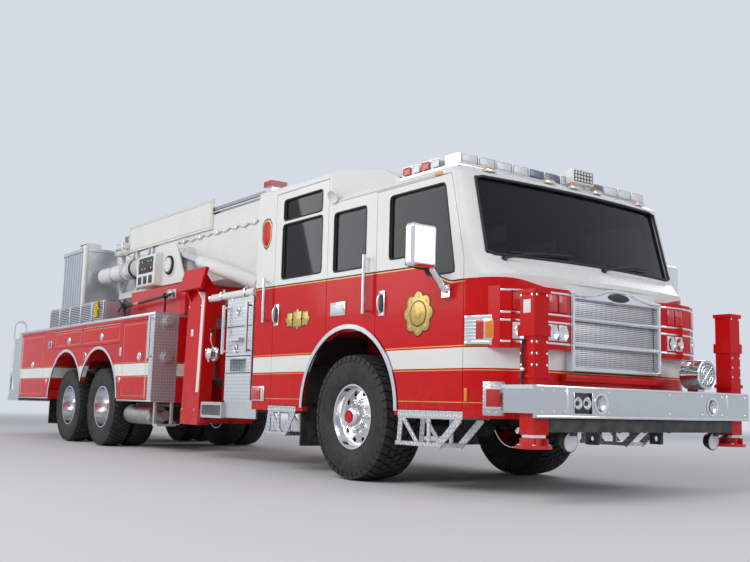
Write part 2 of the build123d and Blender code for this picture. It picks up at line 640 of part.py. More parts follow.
def grille():
    y, z0, z1 = GRILLE_HALF, 947, 1549
    x0, x1 = GRILLE_SEAT_X, 1985
    frame = slab(x0, x1, -y, y, z0, z1) - slab(x0 - 5, x1 + 5, -y + 38, y - 38, z0 + 36, z1 - 40)
    crown = [(-430, z1 - 36), (-240, z1 + 4), (-150, z1 + 34), (-80, z1 + 46), (80, z1 + 46), (150, z1 + 34),
             (240, z1 + 4), (430, z1 - 36)]
    frame += prism_x(crown, x0, x1 + 12)
    for z in (1135, 1335):
        frame += slab(x0 + 10, x1 + 6, -y + 20, y - 20, z, z + 30)
    pitch = 2 * (y - 38) / 22
    for i in range(1, 22):
        bar_y = -y + 38 + pitch * i
        frame += slab(x0 + 4, x0 + 16, bar_y - 5, bar_y + 5, z0 + 20, z1 - 30)
    return [frame]


LAMP_ROWS = ((1160, 1290), (1375, 1515))
# Front outline of the lamp housings, from the grille outwards: x, distance from the middle
LAMP_FRONT = ((1985, GRILLE_HALF + 8), (2000, 600), (2000, 820), (1975, 960), (1905, 1110), (1850, 1165))
# Lamp pockets: outline piece and the share of it from and to
LAMP_POCKETS = ((1, 0.05, 0.48), (1, 0.54, 0.97), (3, 0.08, 0.92))
LAMP_POCKET_DEPTH = 24


def lamp_pocket(piece, share0, share1, z0, z1):
    """Pocket sunk square into one straight piece of the housing's outline."""
    (xa, ya), (xb, yb) = LAMP_FRONT[piece], LAMP_FRONT[piece + 1]
    length = ((xb - xa) ** 2 + (yb - ya) ** 2) ** 0.5
    nx, ny = (yb - ya) / length, -(xb - xa) / length
    corners = []
    inward = -LAMP_POCKET_DEPTH
    for share, depth in ((share0, inward), (share0, 20), (share1, 20), (share1, inward)):
        x, y = xa + (xb - xa) * share, ya + (yb - ya) * share
        corners.append((x + nx * depth, -(y + ny * depth)))
    return prism_z(corners, z0, z1)


def front_lamps():
    """Lamp housings each side of the grille, carried on round the corners as bright bands."""
    row = CAB_SECTIONS[0]
    face = extrude(cab_section((1000, *row[1:]), -FACE_GAP), amount=600, dir=(0, 0, 1))
    plan = [(1800, GRILLE_HALF + 8), *LAMP_FRONT, (1700, 1165)]
    housing_block = prism_z([(x, -y) for x, y in plan], 1100, 1560)
    for z0, z1 in LAMP_ROWS:
        for piece, share0, share1 in LAMP_POCKETS:
            housing_block -= lamp_pocket(piece, share0, share1, z0, z1)
    band = extrude(cab_section((1126, *row[1:]), -15), amount=215, dir=(0, 0, 1))
    band = band & slab(1560, 1760, -1300, -1100, 1000, 1500)
    return pair(housing_block + band - face)


LENS_LENGTH = 215
ROOF_TOP = 2560


def light_bar():
    """Light bar along the roof's front edge and down each side, with a flood lamp and rear lamps."""
    z0 = ROOF_TOP + FACE_GAP
    x0, x1 = 1180, 1375
    bar = slab(x0, x1, -1165, 1165, z0, z0 + 26)
    arm = slab(620, x0, -1165, -985, z0, z0 + 26)
    bar += [arm, mirrored(arm)]
    for i in range(10):
        y = -1150 + i * (LENS_LENGTH + 16)
        bar += slab(x0 + 12, x1 - 8, y, y + LENS_LENGTH, z0 + 20, z0 + 112)
    for x in (640, 910):
        lens = slab(x, x + LENS_LENGTH, -1155, -997, z0 + 20, z0 + 112)
        bar += [lens, mirrored(lens)]
    flood = slab(1395, 1475, 60, 320, z0 + 45, z0 + 165) + slab(x1 - 5, 1420, 130, 250, z0, z0 + 60)
    rear = slab(-1640, -1520, -1190, -1040, CREW_ROOF + FACE_GAP, CREW_ROOF + 60)
    rear += slab(-1660, -1500, -1210, -1020, CREW_ROOF + 50, CREW_ROOF + 110)
    return [bar + flood] + pair(rear)


def mirror_head():
    """Right mirror on its arm from the foot of the front door's window."""
    y = -CAB_HALF_WIDTH
    head = slab(1290, 1400, y - 400, y - 150, 1700, 2040)
    head = fillet(head.edges(), 34)
    arm = rod_between((1345, y - 215, 1760), (1352, y - 70, 1590), 24)
    arm += rod_between((1352, y - 78, 1600), (1362, y - 34, 1545), 28) + Pos(1352, y - 74, 1595) * Sphere(26)
    foot = slab(1315, 1410, y - 38, y - FACE_GAP, 1495, 1590)
    return [head + arm + foot]


CAB_RAIL_XS = (308, -1412)


def grab_rails():
    rails = []
    y = -CAB_HALF_WIDTH
    for x, face, z0, z1 in ((CAB_RAIL_XS[0], y, 1430, 1946), (CAB_RAIL_XS[1], y, 1449, 1900),
                            (TOWER_BACK_X + 25, -TOWER_Y, 1165, 1700),
                            (TOWER_FRONT_X - 25, -TOWER_Y, 1165, 1700),
                            (BODY_FRONT_X - 30, -BODY_HALF_WIDTH, 1155, 1687)):
        rail = rod_z(x, face - 60, 17, z0, z1)
        for z in (z0 + 30, z1 - 30):
            rail += rod_y(x, z, 12, face - 60, face - FACE_GAP)
        rails += pair(rail)
    return rails


def arch_trim():
    """Bright rings round the wheel openings of the cab and the body."""
    y = -CAB_HALF_WIDTH
    ring = (rod_y(0, ARCH_Z, ARCH_R + ARCH_TRIM, y - ARCH_TRIM_PROUD, y - FACE_GAP)
            - rod_y(0, ARCH_Z, ARCH_R, y - 30, y + 10)) & slab(-900, 900, -1400, -1200, ARCH_Z, 1500)
    rings = pair(ring)
    y = -BODY_HALF_WIDTH
    arches = None
    for x in TANDEM_XS:
        disc = rod_y(x, BODY_ARCH_Z, BODY_ARCH_R + ARCH_TRIM, y - ARCH_TRIM_PROUD, y - FACE_GAP)
        arches = disc if arches is None else arches + disc
    for x in TANDEM_XS:
        arches -= rod_y(x, BODY_ARCH_Z, BODY_ARCH_R, y - 30, y + 10)
    arches = arches & slab(AFT_ARCH_X - 100, TANDEM_XS[0] + BODY_ARCH_R + 140,
                           -BODY_HALF_WIDTH - 137, -BODY_HALF_WIDTH + 63,
                           BODY_BOTTOM + 40, 1500)
    return rings + pair(arches)


STEP_TREAD = (345, 378)
STEP_PLATE = 10


def cab_steps():
    """Bright step boxes let into the cab's lower edge, with a second tread hung below."""
    outer, inner = -CAB_HALF_WIDTH, -960
    z0, z1 = STEP_TREAD
    steps = []
    for x0, x1 in STEP_SPANS:
        low = x1 - 250 if x0 > 0 else x1 - 160
        step = slab(x0, x1, outer, inner, 562, STEP_TOP)
        step -= slab(x0 + 15, x1 - 15, outer + 15, inner + 5, 550, 600)
        step += slab(x0 - 30, low, outer, inner - 30, z0, z1)
        for y in (outer + 4, inner - 40):
            for xa, xb, width in ((x0 + 30, x0 + 10, 50), (x1 - 40, low - 40, 60), (x0 + 60, x0 + 260, 40),
                                  (low - 150, low - 150, 40)):
                step += strip(xa, 568, xb, z0 + 10, width, y, y + STEP_PLATE)
        steps += pair(step)
    return steps


# Body

COMPARTMENT_INNER_Y = -690

# door name, x from, x to, z from, z to
BODY_DOORS = (
    ("front_locker", AXLE_MID_X + 1536, AXLE_MID_X + 2366, 645, 1665),
    ("fore_top_locker", AXLE_MID_X - 9, AXLE_MID_X + 1461, 1385, 1665),
    ("aft_top_locker", AXLE_MID_X - 1274, AXLE_MID_X - 29, 1385, 1665),
    ("rear_locker", BODY_BACK_X + 0.03 * REAR_ROOM, BODY_BACK_X + 0.818 * REAR_ROOM, 645, 1665),
)


def body_sides():
    y0, y1 = -BODY_HALF_WIDTH, -BODY_INNER_Y
    side = slab(BODY_BACK_X, BODY_FRONT_X, y0, y1, BODY_BOTTOM, BODY_TOP)
    for x in TANDEM_XS:
        side -= rod_y(x, BODY_ARCH_Z, BODY_ARCH_R, y0 - 10, y1 + 10)
        side -= slab(x - BODY_ARCH_R, x + BODY_ARCH_R, y0 - 10, y1 + 10, 0, BODY_ARCH_Z + 200)
    side -= slab(TANDEM_XS[1], TANDEM_XS[0], y0 + 60, y1 + 10, 0, BODY_ARCH_Z + 600)
    for _, xa, xb, za, zb in BODY_DOORS:
        side -= slab(xa, xb, y0 - 10, y0 + BODY_DOOR, za, zb)
        side -= slab(xa + 20, xb - 20, y0, COMPARTMENT_INNER_Y, za + 20, zb - 20)
    flap_x = TANDEM_XS[1] - BODY_ARCH_R
    side += slab(flap_x - 40, flap_x - 20, y0 + 40, y1, 240, BODY_BOTTOM + 20)
    return pair(side + fittings())


def fittings():
    """Round hose fittings on the body's front wall and the stirrup step below it."""
    x, y = BODY_FRONT_X, -1095
    group = []
    for z in (1630, 1178):
        ring = rod_x(y, z, 78, x - 5, x + 22) + rod_x(y, z, 52, x + 20, x + 60)
        group.append(ring)
    step = slab(x - 60, x - 20, -1205, -1175, 330, BODY_BOTTOM + 10)
    step += slab(x - 60, x - 20, -985, -955, 330, BODY_BOTTOM + 10)
    step += slab(x - 60, x + 80, -1205, -955, 330, 355)
    return [*group, step]


def body_door(xa, xb, za, zb):
    g = PANEL_GAP
    y0 = -BODY_HALF_WIDTH
    return slab(xa + g, xb - g, y0, y0 + BODY_DOOR - FACE_GAP, za + g, zb - g)


FENCE_TOP = 2040
FENCE_Y = 1190
CRADLE_X = BOOM_TIP_X + 1100


def body_centre():
    """Deck, front and rear walls, tail, raised housing under the boom, and the fence round the stowage."""
    half = BODY_INNER_Y - FACE_GAP
    deck = slab(BODY_BACK_X, BODY_FRONT_X, -half, half, BODY_TOP - 60, BODY_TOP)
    rear = slab(BODY_BACK_X, BODY_BACK_X + 40, -half, half, RAIL_TOP, BODY_TOP)
    front = slab(BODY_FRONT_X - 40, BODY_FRONT_X, -half, half, RAIL_TOP, BODY_TOP)
    for y in (-420, 340):
        deck += slab(CRADLE_X - 50, CRADLE_X + 50, y, y + 80, BODY_TOP - 5, 2130)
    deck += slab(CRADLE_X - 60, CRADLE_X + 60, -440, 440, 2120, BOOM_BOTTOM - FACE_GAP)
    return [deck + rear + front, tail(), housing()] + pair(fence())


def housing():
    """Raised red cover on the front of the deck, open underneath."""
    x0, x1 = BODY_FRONT_X - 1730, BODY_FRONT_X + 40
    z0 = BODY_TOP + FACE_GAP
    cover = slab(x0, x1, -900, 900, z0, HOUSING_TOP)
    return cover - slab(x0 + 20, x1 - 20, -880, 880, z0 - 10, HOUSING_TOP - 20)


def fence():
    """Right-hand perforated wall of the stowage on the body's top."""
    x0, x1 = BODY_FRONT_X - 4380, BODY_FRONT_X - 1950
    z0 = BODY_TOP + FACE_GAP
    wall = slab(x0, x1, -FENCE_Y, -FENCE_Y + 14, z0, FENCE_TOP - 20)
    wall += slab(x0, x0 + 14, -FENCE_Y, -640, z0, FENCE_TOP - 20)
    wall += slab(x0, x1, -FENCE_Y - 8, -FENCE_Y + 26, FENCE_TOP - 34, FENCE_TOP)
    wall += slab(x1 - 30, x1, -FENCE_Y, -640, z0, FENCE_TOP - 20)
    for x in (x0 + 800, x0 + 1600):
        wall += slab(x, x + 40, -FENCE_Y, -FENCE_Y + 40, z0, FENCE_TOP - 20)
    return wall


LOOP_R = 16
LOOP_TOP = 1860


def tail():
    """Polished tail: step plate, side wings with treads, and a looped hand rail each side."""
    half = BODY_INNER_Y - FACE_GAP
    x0, x1 = TAIL_X, BODY_BACK_X - FACE_GAP
    step = slab(x0, x1, -BODY_HALF_WIDTH, BODY_HALF_WIDTH, 575, 660)
    step += slab(x1 - 60, x1, -half, half, 655, RAIL_TOP + 200)
    wing = slab(x0 + 40, x1, -BODY_HALF_WIDTH, -BODY_HALF_WIDTH + 20, 655, 1640)
    wing -= prism_y([(x0 + 100, 760), (x0 + 300, 760), (x0 + 220, 980), (x0 + 100, 980)],
                    -BODY_HALF_WIDTH - 37, -BODY_HALF_WIDTH + 63)
    for z in (1000, 1350):
        wing += slab(x0 + 40, x1, -BODY_HALF_WIDTH, -860, z, z + 30)
    wing += slab(x1 - 20, x1, -BODY_HALF_WIDTH, -860, 655, 1640)
    loop_x, ya, yb = x0 + 75, -BODY_HALF_WIDTH + 10, -BODY_HALF_WIDTH + 210
    r = (yb - ya) / 2
    post = rod_z(loop_x, ya, LOOP_R, 1450, LOOP_TOP) + rod_z(loop_x, yb, LOOP_R, 1010, LOOP_TOP)
    bend = Pos(loop_x, (ya + yb) / 2, LOOP_TOP) * Rot(0, 90, 0) * Torus(r, LOOP_R)
    post += bend & slab(loop_x - 30, loop_x + 30, ya - 30, yb + 30, LOOP_TOP, LOOP_TOP + 200)
    lamp = rod_z(loop_x + 40, (ya + yb) / 2, 50, 1640, 1760) + slab(loop_x, x1, ya, ya + 200, 1600, 1645)
    wing += post + lamp
    return step + wing + mirrored(wing)


# Boom turret, sections and basket

LEG_BACK_X, LEG_FRONT_X = TURNTABLE_X - 500, TURNTABLE_X - 50
LUG = 25
GAP_AT_LEG = 6
LEG_PIN_Y, LEG_PIN_Z = 1110, 480
LEG_PIN_R = 35
SIDE_PLATE_Y = 700


def pedestal():
    """Fixed frame between cab and body that carries the turntable and the stabilisers."""
    seat_z = TURNTABLE_TOP - TURNTABLE_PLATE
    box = slab(TURNTABLE_X - 500, TURNTABLE_X + 500, -500, 500, RAIL_TOP, seat_z - 90)
    box += rod_z(TURNTABLE_X, 0, 480, seat_z - 90, seat_z)
    box += slab(LEG_BACK_X - LUG, LEG_FRONT_X + LUG, -900, 900, RAIL_TOP, 1500)
    for x in (LEG_BACK_X - LUG - GAP_AT_LEG, LEG_FRONT_X + GAP_AT_LEG):
        lug = prism_x([(-500, 400), (-500, 640), (-900, 1000), (-900, 640), (-1180, 560), (-1180, 400)],
                      x, x + LUG)
        box += lug + mirrored(lug)
        box += slab(x, x + LUG, -900, 900, RAIL_TOP, 1200)
    for y in (-LEG_PIN_Y, LEG_PIN_Y):
        box -= rod_x(y, LEG_PIN_Z, LEG_PIN_R + RUNNING_FIT, LEG_BACK_X - 80, LEG_FRONT_X + 80)
    cheek = pedestal_cheek()
    return [box + cheek + mirrored(cheek)]


def pedestal_cheek():
    """Right side plate in front of the leg, with its two hatches and the hose outlet."""
    x0, x1 = LEG_FRONT_X + GAP_AT_LEG, TURNTABLE_X + 490
    y = -SIDE_PLATE_Y
    plate = slab(x0, x1, y, y + 20, RAIL_TOP, 1705)
    for z in (1140, 1480):
        plate -= slab(x1 - 300, x1 - 130, y - 10, y + 30, z, z + 170)
    for x in (x0, x1 - 20):
        plate += slab(x, x + 20, y, -490, RAIL_TOP, 1705)
    outlet_x, outlet_z = TURNTABLE_X + 160, 1180
    plate += rod_y(outlet_x, outlet_z, 62, -1110, y + 10)
    return plate + rod_y(outlet_x, outlet_z, 82, -1130, -1105)


# Stabiliser legs: hinged at the foot of the pedestal, stowed upright with the foot plate outward

def outrigger():
    """Right stabiliser leg."""
    x0, x1 = LEG_BACK_X, LEG_FRONT_X
    leg = prism_x([(-1190, 380), (-1040, 380), (-1000, 1960), (-1150, 1960)], x0, x1)
    foot = prism_x([(-1265, 1940), (-1198, 2190), (-1160, 2180), (-1227, 1930)], x0 - 60, x1 + 60)
    for x in (x0 + 60, x1 - 85):
        foot += prism_x([(-1150, 1800), (-1000, 1960), (-1165, 2170), (-1235, 1930)], x, x + LUG)
    pin = rod_x(-LEG_PIN_Y, LEG_PIN_Z, LEG_PIN_R, x0 - LUG - 2 * GAP_AT_LEG, x1 + LUG + 2 * GAP_AT_LEG)
    return [leg + foot + pin]


TOWER_BACK_X, TOWER_FRONT_X = TURNTABLE_X + 490, CAB_BACK_X - 200
TOWER_Y = 1150
TOWER_TOP = 1770


def step_tower():
    """Bright-plated locker with steps behind the cab, its skirt, a hose tube and the lower step."""
    x0, x1 = TOWER_BACK_X, TOWER_FRONT_X
    tower = slab(x0, x1, -TOWER_Y, -RAIL_OUT_Y - 130, 665, TOWER_TOP)
    tower -= slab(x0 + 110, x1 - 110, -TOWER_Y - 10, -TOWER_Y + 120, 975, 1105)
    tower += slab(x0 + 150, x1 - 150, -TOWER_Y - 80, -TOWER_Y + 5, 1300, 1330)
    for x in (x0 + 60, x1 - 100):
        tower += slab(x, x + 40, -RAIL_OUT_Y - 130, -RAIL_OUT_Y, RAIL_BOTTOM + 20, RAIL_TOP - 20)
        tower += slab(x, x + 40, -TOWER_Y + 10, -TOWER_Y + 50, TOWER_TOP - 5, TOWER_TOP + 50)
    tower += slab(x0 + 20, CAB_BACK_X - 60, -TOWER_Y, -TOWER_Y + 20, 480, 670)
    step = slab(x0 - 470, x0 + 25, -TOWER_Y - 40, -TOWER_Y + 160, 470, 640)
    step -= slab(x0 - 450, x0 + 5, -TOWER_Y - 50, -TOWER_Y + 140, 500, 610)
    tube = rod_x(-TOWER_Y + 30, TOWER_TOP + 50, 42, x0 - 420, x1 - 5)
    return pair(tower + step + tube)


# Lift cylinders: barrels pinned to the turntable, rods that follow the boom

CYLINDER_Y = 655
BARREL_R = 85
BARREL_PIN_X, BARREL_PIN_Z = BOOM_PIN_X - 10, 1985
ROD_PIN_X, ROD_PIN_Z = BOOM_PIN_X - 2300, 2620
BARREL_LENGTH = 1700
ROD_R = 48
CYLINDER_PIN_R = 40


def along_cylinder(distance):
    """Point on the right cylinder's centre line, measured from its lower pin."""
    dx, dz = ROD_PIN_X - BARREL_PIN_X, ROD_PIN_Z - BARREL_PIN_Z
    share = distance / (dx * dx + dz * dz) ** 0.5
    return (BARREL_PIN_X + dx * share, -CYLINDER_Y, BARREL_PIN_Z + dz * share)


def closed_length():
    return ((ROD_PIN_X - BARREL_PIN_X) ** 2 + (ROD_PIN_Z - BARREL_PIN_Z) ** 2) ** 0.5


def lift_barrels():
    barrel = rod_between(along_cylinder(60), along_cylinder(BARREL_LENGTH), BARREL_R)
    barrel += rod_y(BARREL_PIN_X, BARREL_PIN_Z, BARREL_R, -CYLINDER_Y - 60, -CYLINDER_Y + 60)
    barrel -= rod_between(along_cylinder(160), along_cylinder(BARREL_LENGTH + 20), ROD_R + RUNNING_FIT)
    barrel -= rod_y(BARREL_PIN_X, BARREL_PIN_Z, CYLINDER_PIN_R + RUNNING_FIT,
                    -CYLINDER_Y - 90, -CYLINDER_Y + 90)
    return pair(barrel)


def lift_rods():
    end = closed_length()
    rod = rod_between(along_cylinder(180), along_cylinder(end - 40), ROD_R)
    eye = rod_y(ROD_PIN_X, ROD_PIN_Z, 75, -CYLINDER_Y - 50, -CYLINDER_Y + 50)
    return pair(rod + eye)


def turntable():
    deck = rod_z(TURNTABLE_X, 0, TURNTABLE_R, TURNTABLE_TOP - TURNTABLE_PLATE + FACE_GAP, TURNTABLE_TOP)
    z0, z1 = TURNTABLE_TOP - 10, BOOM_PIN_Z + 140
    ears = prism_y([(TURNTABLE_X - 350, z0), (TURNTABLE_X + 650, z0),
                    (BOOM_PIN_X + 150, z1), (BOOM_PIN_X - 150, z1)],
                   -560, -490)
    deck += ears + mirrored(ears)
    deck += rod_y(BOOM_PIN_X, BOOM_PIN_Z, BOOM_PIN_R, -500, 500)
    pin = rod_y(BARREL_PIN_X, BARREL_PIN_Z, CYLINDER_PIN_R, -CYLINDER_Y - 75, -520)
    return [deck + pin + mirrored(pin)]


# Boom: three ladder sections, each inside the one before, the outer one first
MID_SIDE, FLY_SIDE = 24, 20
SECTION_SIDE_GAP = 14
MID_BOTTOM = BOOM_BOTTOM + BOOM_SIDE + FACE_GAP
FLY_BOTTOM = MID_BOTTOM + MID_SIDE + FACE_GAP
MID_HALF = BOOM_HALF_WIDTH - BOOM_SIDE - SECTION_SIDE_GAP
FLY_HALF = MID_HALF - MID_SIDE - SECTION_SIDE_GAP
TIP_STEP = 60
CHORD = 90
POST = 60
POST_PITCH = 560
BRACE = 42
RUNG_PITCH = 350
RUNG = 38


def lattice(x0, x1, y0, y1, z0, z1):
    """One side of a ladder section: two chords with posts and braces between them."""
    bays = round((x1 - x0) / POST_PITCH)
    pitch = (x1 - x0 - POST) / bays
    parts = [slab(x0, x1, y0, y1, z1 - CHORD, z1)]
    for i in range(bays + 1):
        x = x0 + i * pitch
        parts.append(slab(x, x + POST, y0, y1, z0 + 10, z1 - 10))
        if i < bays:
            near, far = x + POST / 2, x + POST / 2 + pitch
            parts.append(strip(near, z0 + CHORD / 2, far, z1 - CHORD / 2, BRACE, y0, y1))
    return slab(x0, x1, y0, y1, z0, z0 + CHORD) + parts


def rungs(x0, x1, half, z0, z1):
    count = round((x1 - x0 - RUNG) / RUNG_PITCH)
    pitch = (x1 - x0 - RUNG) / count
    return [slab(x0 + i * pitch, x0 + i * pitch + RUNG, -half, half, z0, z1) for i in range(count + 1)]


def hand_rail(x0, x1, y0, y1, z0, z1):
    """Rail on stubs along the top of one side."""
    stubs = [slab(x, x + 40, y0, y1, z0 - 5, z1 - 20) for x in (x0 + 20, (x0 + x1) / 2, x1 - 60)]
    return slab(x0, x1, y0, y1, z1 - 40, z1) + stubs


def boom_section(x_tip, x_heel, half, z0, z1, side, rail_top):
    """Open-topped ladder section: braced sides, rungs across the floor and a hand rail each side."""
    wall = lattice(x_tip, x_heel, -half, -half + side, z0, z1)
    wall += hand_rail(x_tip + 100, x_heel - 100, -half, -half + side, z1, rail_top)
    return wall + mirrored(wall) + rungs(x_tip, x_heel, half - 5, z0, z0 + side)


PLATED_FROM_X = BOOM_TIP_X + 1450
SIGN_BACK_X, SIGN_FRONT_X = BOOM_TIP_X + 350, BOOM_TIP_X + 3200


def boom_base():
    half = BOOM_HALF_WIDTH
    heel = BOOM_PIN_X - 180
    body = boom_section(BOOM_TIP_X, heel, half, BOOM_BOTTOM, BOOM_TOP, BOOM_SIDE, BOOM_TOP + RAIL_HEIGHT)
    plate = slab(PLATED_FROM_X, heel, -half, -half + BOOM_SIDE - 8, BOOM_BOTTOM, BOOM_TOP - 90)
    ear = prism_y([(heel, BOOM_BOTTOM + 100), (BOOM_PIN_X + 100, 2420), (BOOM_PIN_X + 100, 2700),
                   (heel, BOOM_TOP - 100)], -half, -half + BOOM_SIDE)
    lug = prism_y([(ROD_PIN_X - 150, BOOM_BOTTOM + 50), (ROD_PIN_X + 150, BOOM_BOTTOM + 50),
                   (ROD_PIN_X + 90, ROD_PIN_Z + 90), (ROD_PIN_X - 90, ROD_PIN_Z + 90)],
                  -CYLINDER_Y + 50 + CYLINDER_SIDE_GAP, -half)
    sign = slab(SIGN_BACK_X, SIGN_FRONT_X, -half - 25, -half, SIGN_TOP - 400, SIGN_TOP)
    flank = plate + ear + lug + sign
    hole = rod_y(BOOM_PIN_X, BOOM_PIN_Z, BOOM_PIN_R + RUNNING_FIT, -600, 600)
    return [body + flank + mirrored(flank) + side_gear() - hole]


def side_gear():
    """Right-hand gear: water motor and its barrel, the operator's box, and the cylinder's outer bracket."""
    y, z = -BOOM_HALF_WIDTH - 180, BOOM_BOTTOM + 355
    tip = BOOM_TIP_X
    gear = rod_x(y, z, 130, tip - 130, tip + 780)
    gear += rod_x(y, z, 96, tip + 770, tip + 1640) + rod_x(y, z, 150, tip + 1080, tip + 1300)
    for x in (tip + 60, tip + 640, tip + 1150):
        gear += slab(x, x + 80, y, -BOOM_HALF_WIDTH + 5, z - 50, z + 50)
    x0, x1 = tip + 1590, tip + 2210
    box = slab(x0, x1, y - 190, -BOOM_HALF_WIDTH, BOOM_BOTTOM + 10, BOOM_BOTTOM + 460)
    box = fillet(box.edges().filter_by(Axis.X), 40)
    slope = [(x1 - 90, BOOM_BOTTOM + 5), (ROD_PIN_X + 360, BOOM_BOTTOM + 5),
             (ROD_PIN_X + 20, ROD_PIN_Z + 120),
             (x1 - 120, ROD_PIN_Z + 120)]
    outer_y = -CYLINDER_Y - 50 - 10
    outer = prism_y(slope, outer_y - 20, outer_y)
    floor = slab(x1 - 90, ROD_PIN_X + 360, outer_y - 20, -BOOM_HALF_WIDTH + 5,
                 BOOM_BOTTOM + 5, BOOM_BOTTOM + 25)
    back = slab(x1 - 120, x1 - 90, outer_y - 20, -BOOM_HALF_WIDTH + 5, BOOM_BOTTOM + 5, ROD_PIN_Z + 120)
    return gear + box + outer + floor + back


def boom_mid():
    return [boom_section(BOOM_TIP_X - TIP_STEP, BOOM_PIN_X - 320, MID_HALF, MID_BOTTOM, BOOM_TOP - 40,
                         MID_SIDE,
                         BOOM_TOP + RAIL_HEIGHT - 50)]


BASKET_PIN_X, BASKET_PIN_Z = BOOM_TIP_X - 210, 2225
BASKET_PIN_R = 28
BASKET_BOTTOM, BASKET_TOP = 2060, BOOM_TOP - 80
PRONG_YS = (-342, -258, 258, 342)


def boom_fly():
    x = BOOM_TIP_X - 2 * TIP_STEP
    fly = boom_section(x, BOOM_PIN_X - 400, FLY_HALF, FLY_BOTTOM, BOOM_TOP - 80, FLY_SIDE,
                       BOOM_TOP + RAIL_HEIGHT - 120)
    fly += slab(x, x + 50, -FLY_HALF + 5, FLY_HALF - 5, FLY_BOTTOM, FLY_BOTTOM + 110)
    for y in PRONG_YS:
        fly += prism_y([(x + 40, FLY_BOTTOM + 10), (x + 10, FLY_BOTTOM + 60),
                        (BASKET_PIN_X - 30, BASKET_PIN_Z + 20),
                        (BASKET_PIN_X - 30, BASKET_PIN_Z - 20), (BASKET_PIN_X + 40, BASKET_PIN_Z - 50)],
                       y - 10, y + 10)
    return [fly + rod_y(BASKET_PIN_X, BASKET_PIN_Z, BASKET_PIN_R, -350, 350)]


# Basket outline from the boom's side outwards: x behind the pin, half width
BASKET_PLAN = ((80, 950), (1090, 950), (1960, 560))
BASKET_WALL = 30
RIB_PITCH = 110
RIB_WIDTH, RIB_PROUD = 45, 16


def basket_outline(grow):
    """Plan corners all round; a positive value draws the outline outwards."""
    (d0, y0), (d1, y1), (d2, y2) = BASKET_PLAN
    right = [(BASKET_PIN_X - d0 + grow, -y0 - grow), (BASKET_PIN_X - d1 - grow * 0.2, -y1 - grow),
             (BASKET_PIN_X - d2 - grow, -y2 - grow * 0.6)]
    return right + [(x, -y) for x, y in reversed(right)]


def basket_ribs():
    """Upright ribs on the outer faces of the basket."""
    corners = basket_outline(0)
    ribs = []
    for (xa, ya), (xb, yb) in zip(corners, corners[1:]):
        length = ((xb - xa) ** 2 + (yb - ya) ** 2) ** 0.5
        tx, ty = (xb - xa) / length, (yb - ya) / length
        count = int(length / RIB_PITCH)
        for i in range(count):
            along = (i + 0.5) * length / count
            outline = []
            for side, depth in ((-0.5, -10), (0.5, -10), (0.5, RIB_PROUD), (-0.5, RIB_PROUD)):
                d = along + side * RIB_WIDTH
                outline.append((xa + tx * d + ty * depth, ya + ty * d - tx * depth))
            ribs.append(prism_z(outline, BASKET_BOTTOM + 60, BASKET_TOP - 45))
    return ribs


def basket():
    shell = prism_z(basket_outline(0), BASKET_BOTTOM, BASKET_TOP)
    shell += basket_ribs()
    shell += prism_z(basket_outline(22), BASKET_TOP - 50, BASKET_TOP)
    shell -= prism_z(basket_outline(-BASKET_WALL), BASKET_BOTTOM + 50, BASKET_TOP + 10)
    near_x = BASKET_PIN_X - BASKET_PLAN[0][0]
    for y in (-300, 300):
        lug = slab(near_x - 5, BASKET_PIN_X, y - 20, y + 20, BASKET_PIN_Z - 55, BASKET_PIN_Z + 55)
        shell += lug + rod_y(BASKET_PIN_X, BASKET_PIN_Z, 55, y - 20, y + 20)
        shell -= rod_y(BASKET_PIN_X, BASKET_PIN_Z, BASKET_PIN_R + RUNNING_FIT, y - 30, y + 30)
    for y in (-BASKET_PLAN[0][1], BASKET_PLAN[0][1]):
        shell += rod_z(near_x, y, 38, BASKET_BOTTOM, BASKET_TOP + 40)
    shell += slab(near_x - 340, near_x - 20, -940, -700, BASKET_TOP - 20, BASKET_TOP + 85)
    return [shell]


# Each entry: node name and its solids
def all_nodes():
    roof, front, back, side = cab_panels()
    nodes = {
        "chassis_frame": chassis_frame(),
        "axles": axle_beam() + tandem_axles(),
        "powertrain": powertrain(),
        "cab_floor": cab_floor(),
        "cab_front": [front],
        "cab_back": [back],
        "cab_sides": pair(side),
        "cab_roof": [roof],
        "cab_glass": cab_glass(),
        "cab_seats": cab_seats(),
        "dashboard": dashboard(),
        "bumper": bumper(),
        "jack_columns": jack_columns(),
        "grille": grille(),
        "front_lamps": front_lamps(),
        "light_bar": light_bar(),
        "bright_trim": grab_rails() + arch_trim(),
        "cab_steps": cab_steps(),
        "pedestal": pedestal(),
        "step_tower": step_tower(),
        "body_sides": body_sides(),
        "body_centre": body_centre(),
        "turntable": turntable(),
        "lift_barrels": lift_barrels(),
        "lift_rods": lift_rods(),
        "boom_base": boom_base(),
        "boom_mid": boom_mid(),
        "boom_fly": boom_fly(),
        "basket": basket(),
    }
    for side_name, sign in (("right", -1), ("left", 1)):
        nodes[f"front_wheel_{side_name}"] = placed_wheel(front_wheel(), 0, sign * FRONT_WHEEL_Y, FRONT_TYRE_R)
        for axle, x in zip(("fore", "aft"), TANDEM_XS):
            nodes[f"{axle}_wheels_{side_name}"] = placed_wheel(dual_wheel(), x, sign * DUAL_Y, REAR_TYRE_R)
    sided = {"knuckle": knuckle(), "jack_leg": jack_leg(), "outrigger": outrigger(),
             "mirror": mirror_head()}
    for name, door, windows in (("front_door", FRONT_DOOR, (FRONT_WINDOW,)),
                                ("crew_door", CREW_DOOR, (CREW_WINDOW, VISTA_WINDOW))):
        leaf = door_blank(door)
        for window in windows:
            leaf -= side_cut(window)
        sided[name] = [leaf]
        sided[name + "_glass"] = [pane(window) for window in windows]
    for name, xa, xb, za, zb in BODY_DOORS:
        sided[name + "_door"] = [body_door(xa, xb, za, zb)]
    for name, solids in sided.items():
        nodes[name + "_right"] = solids
        nodes[name + "_left"] = [mirrored(solid) for solid in solids]
    return nodes


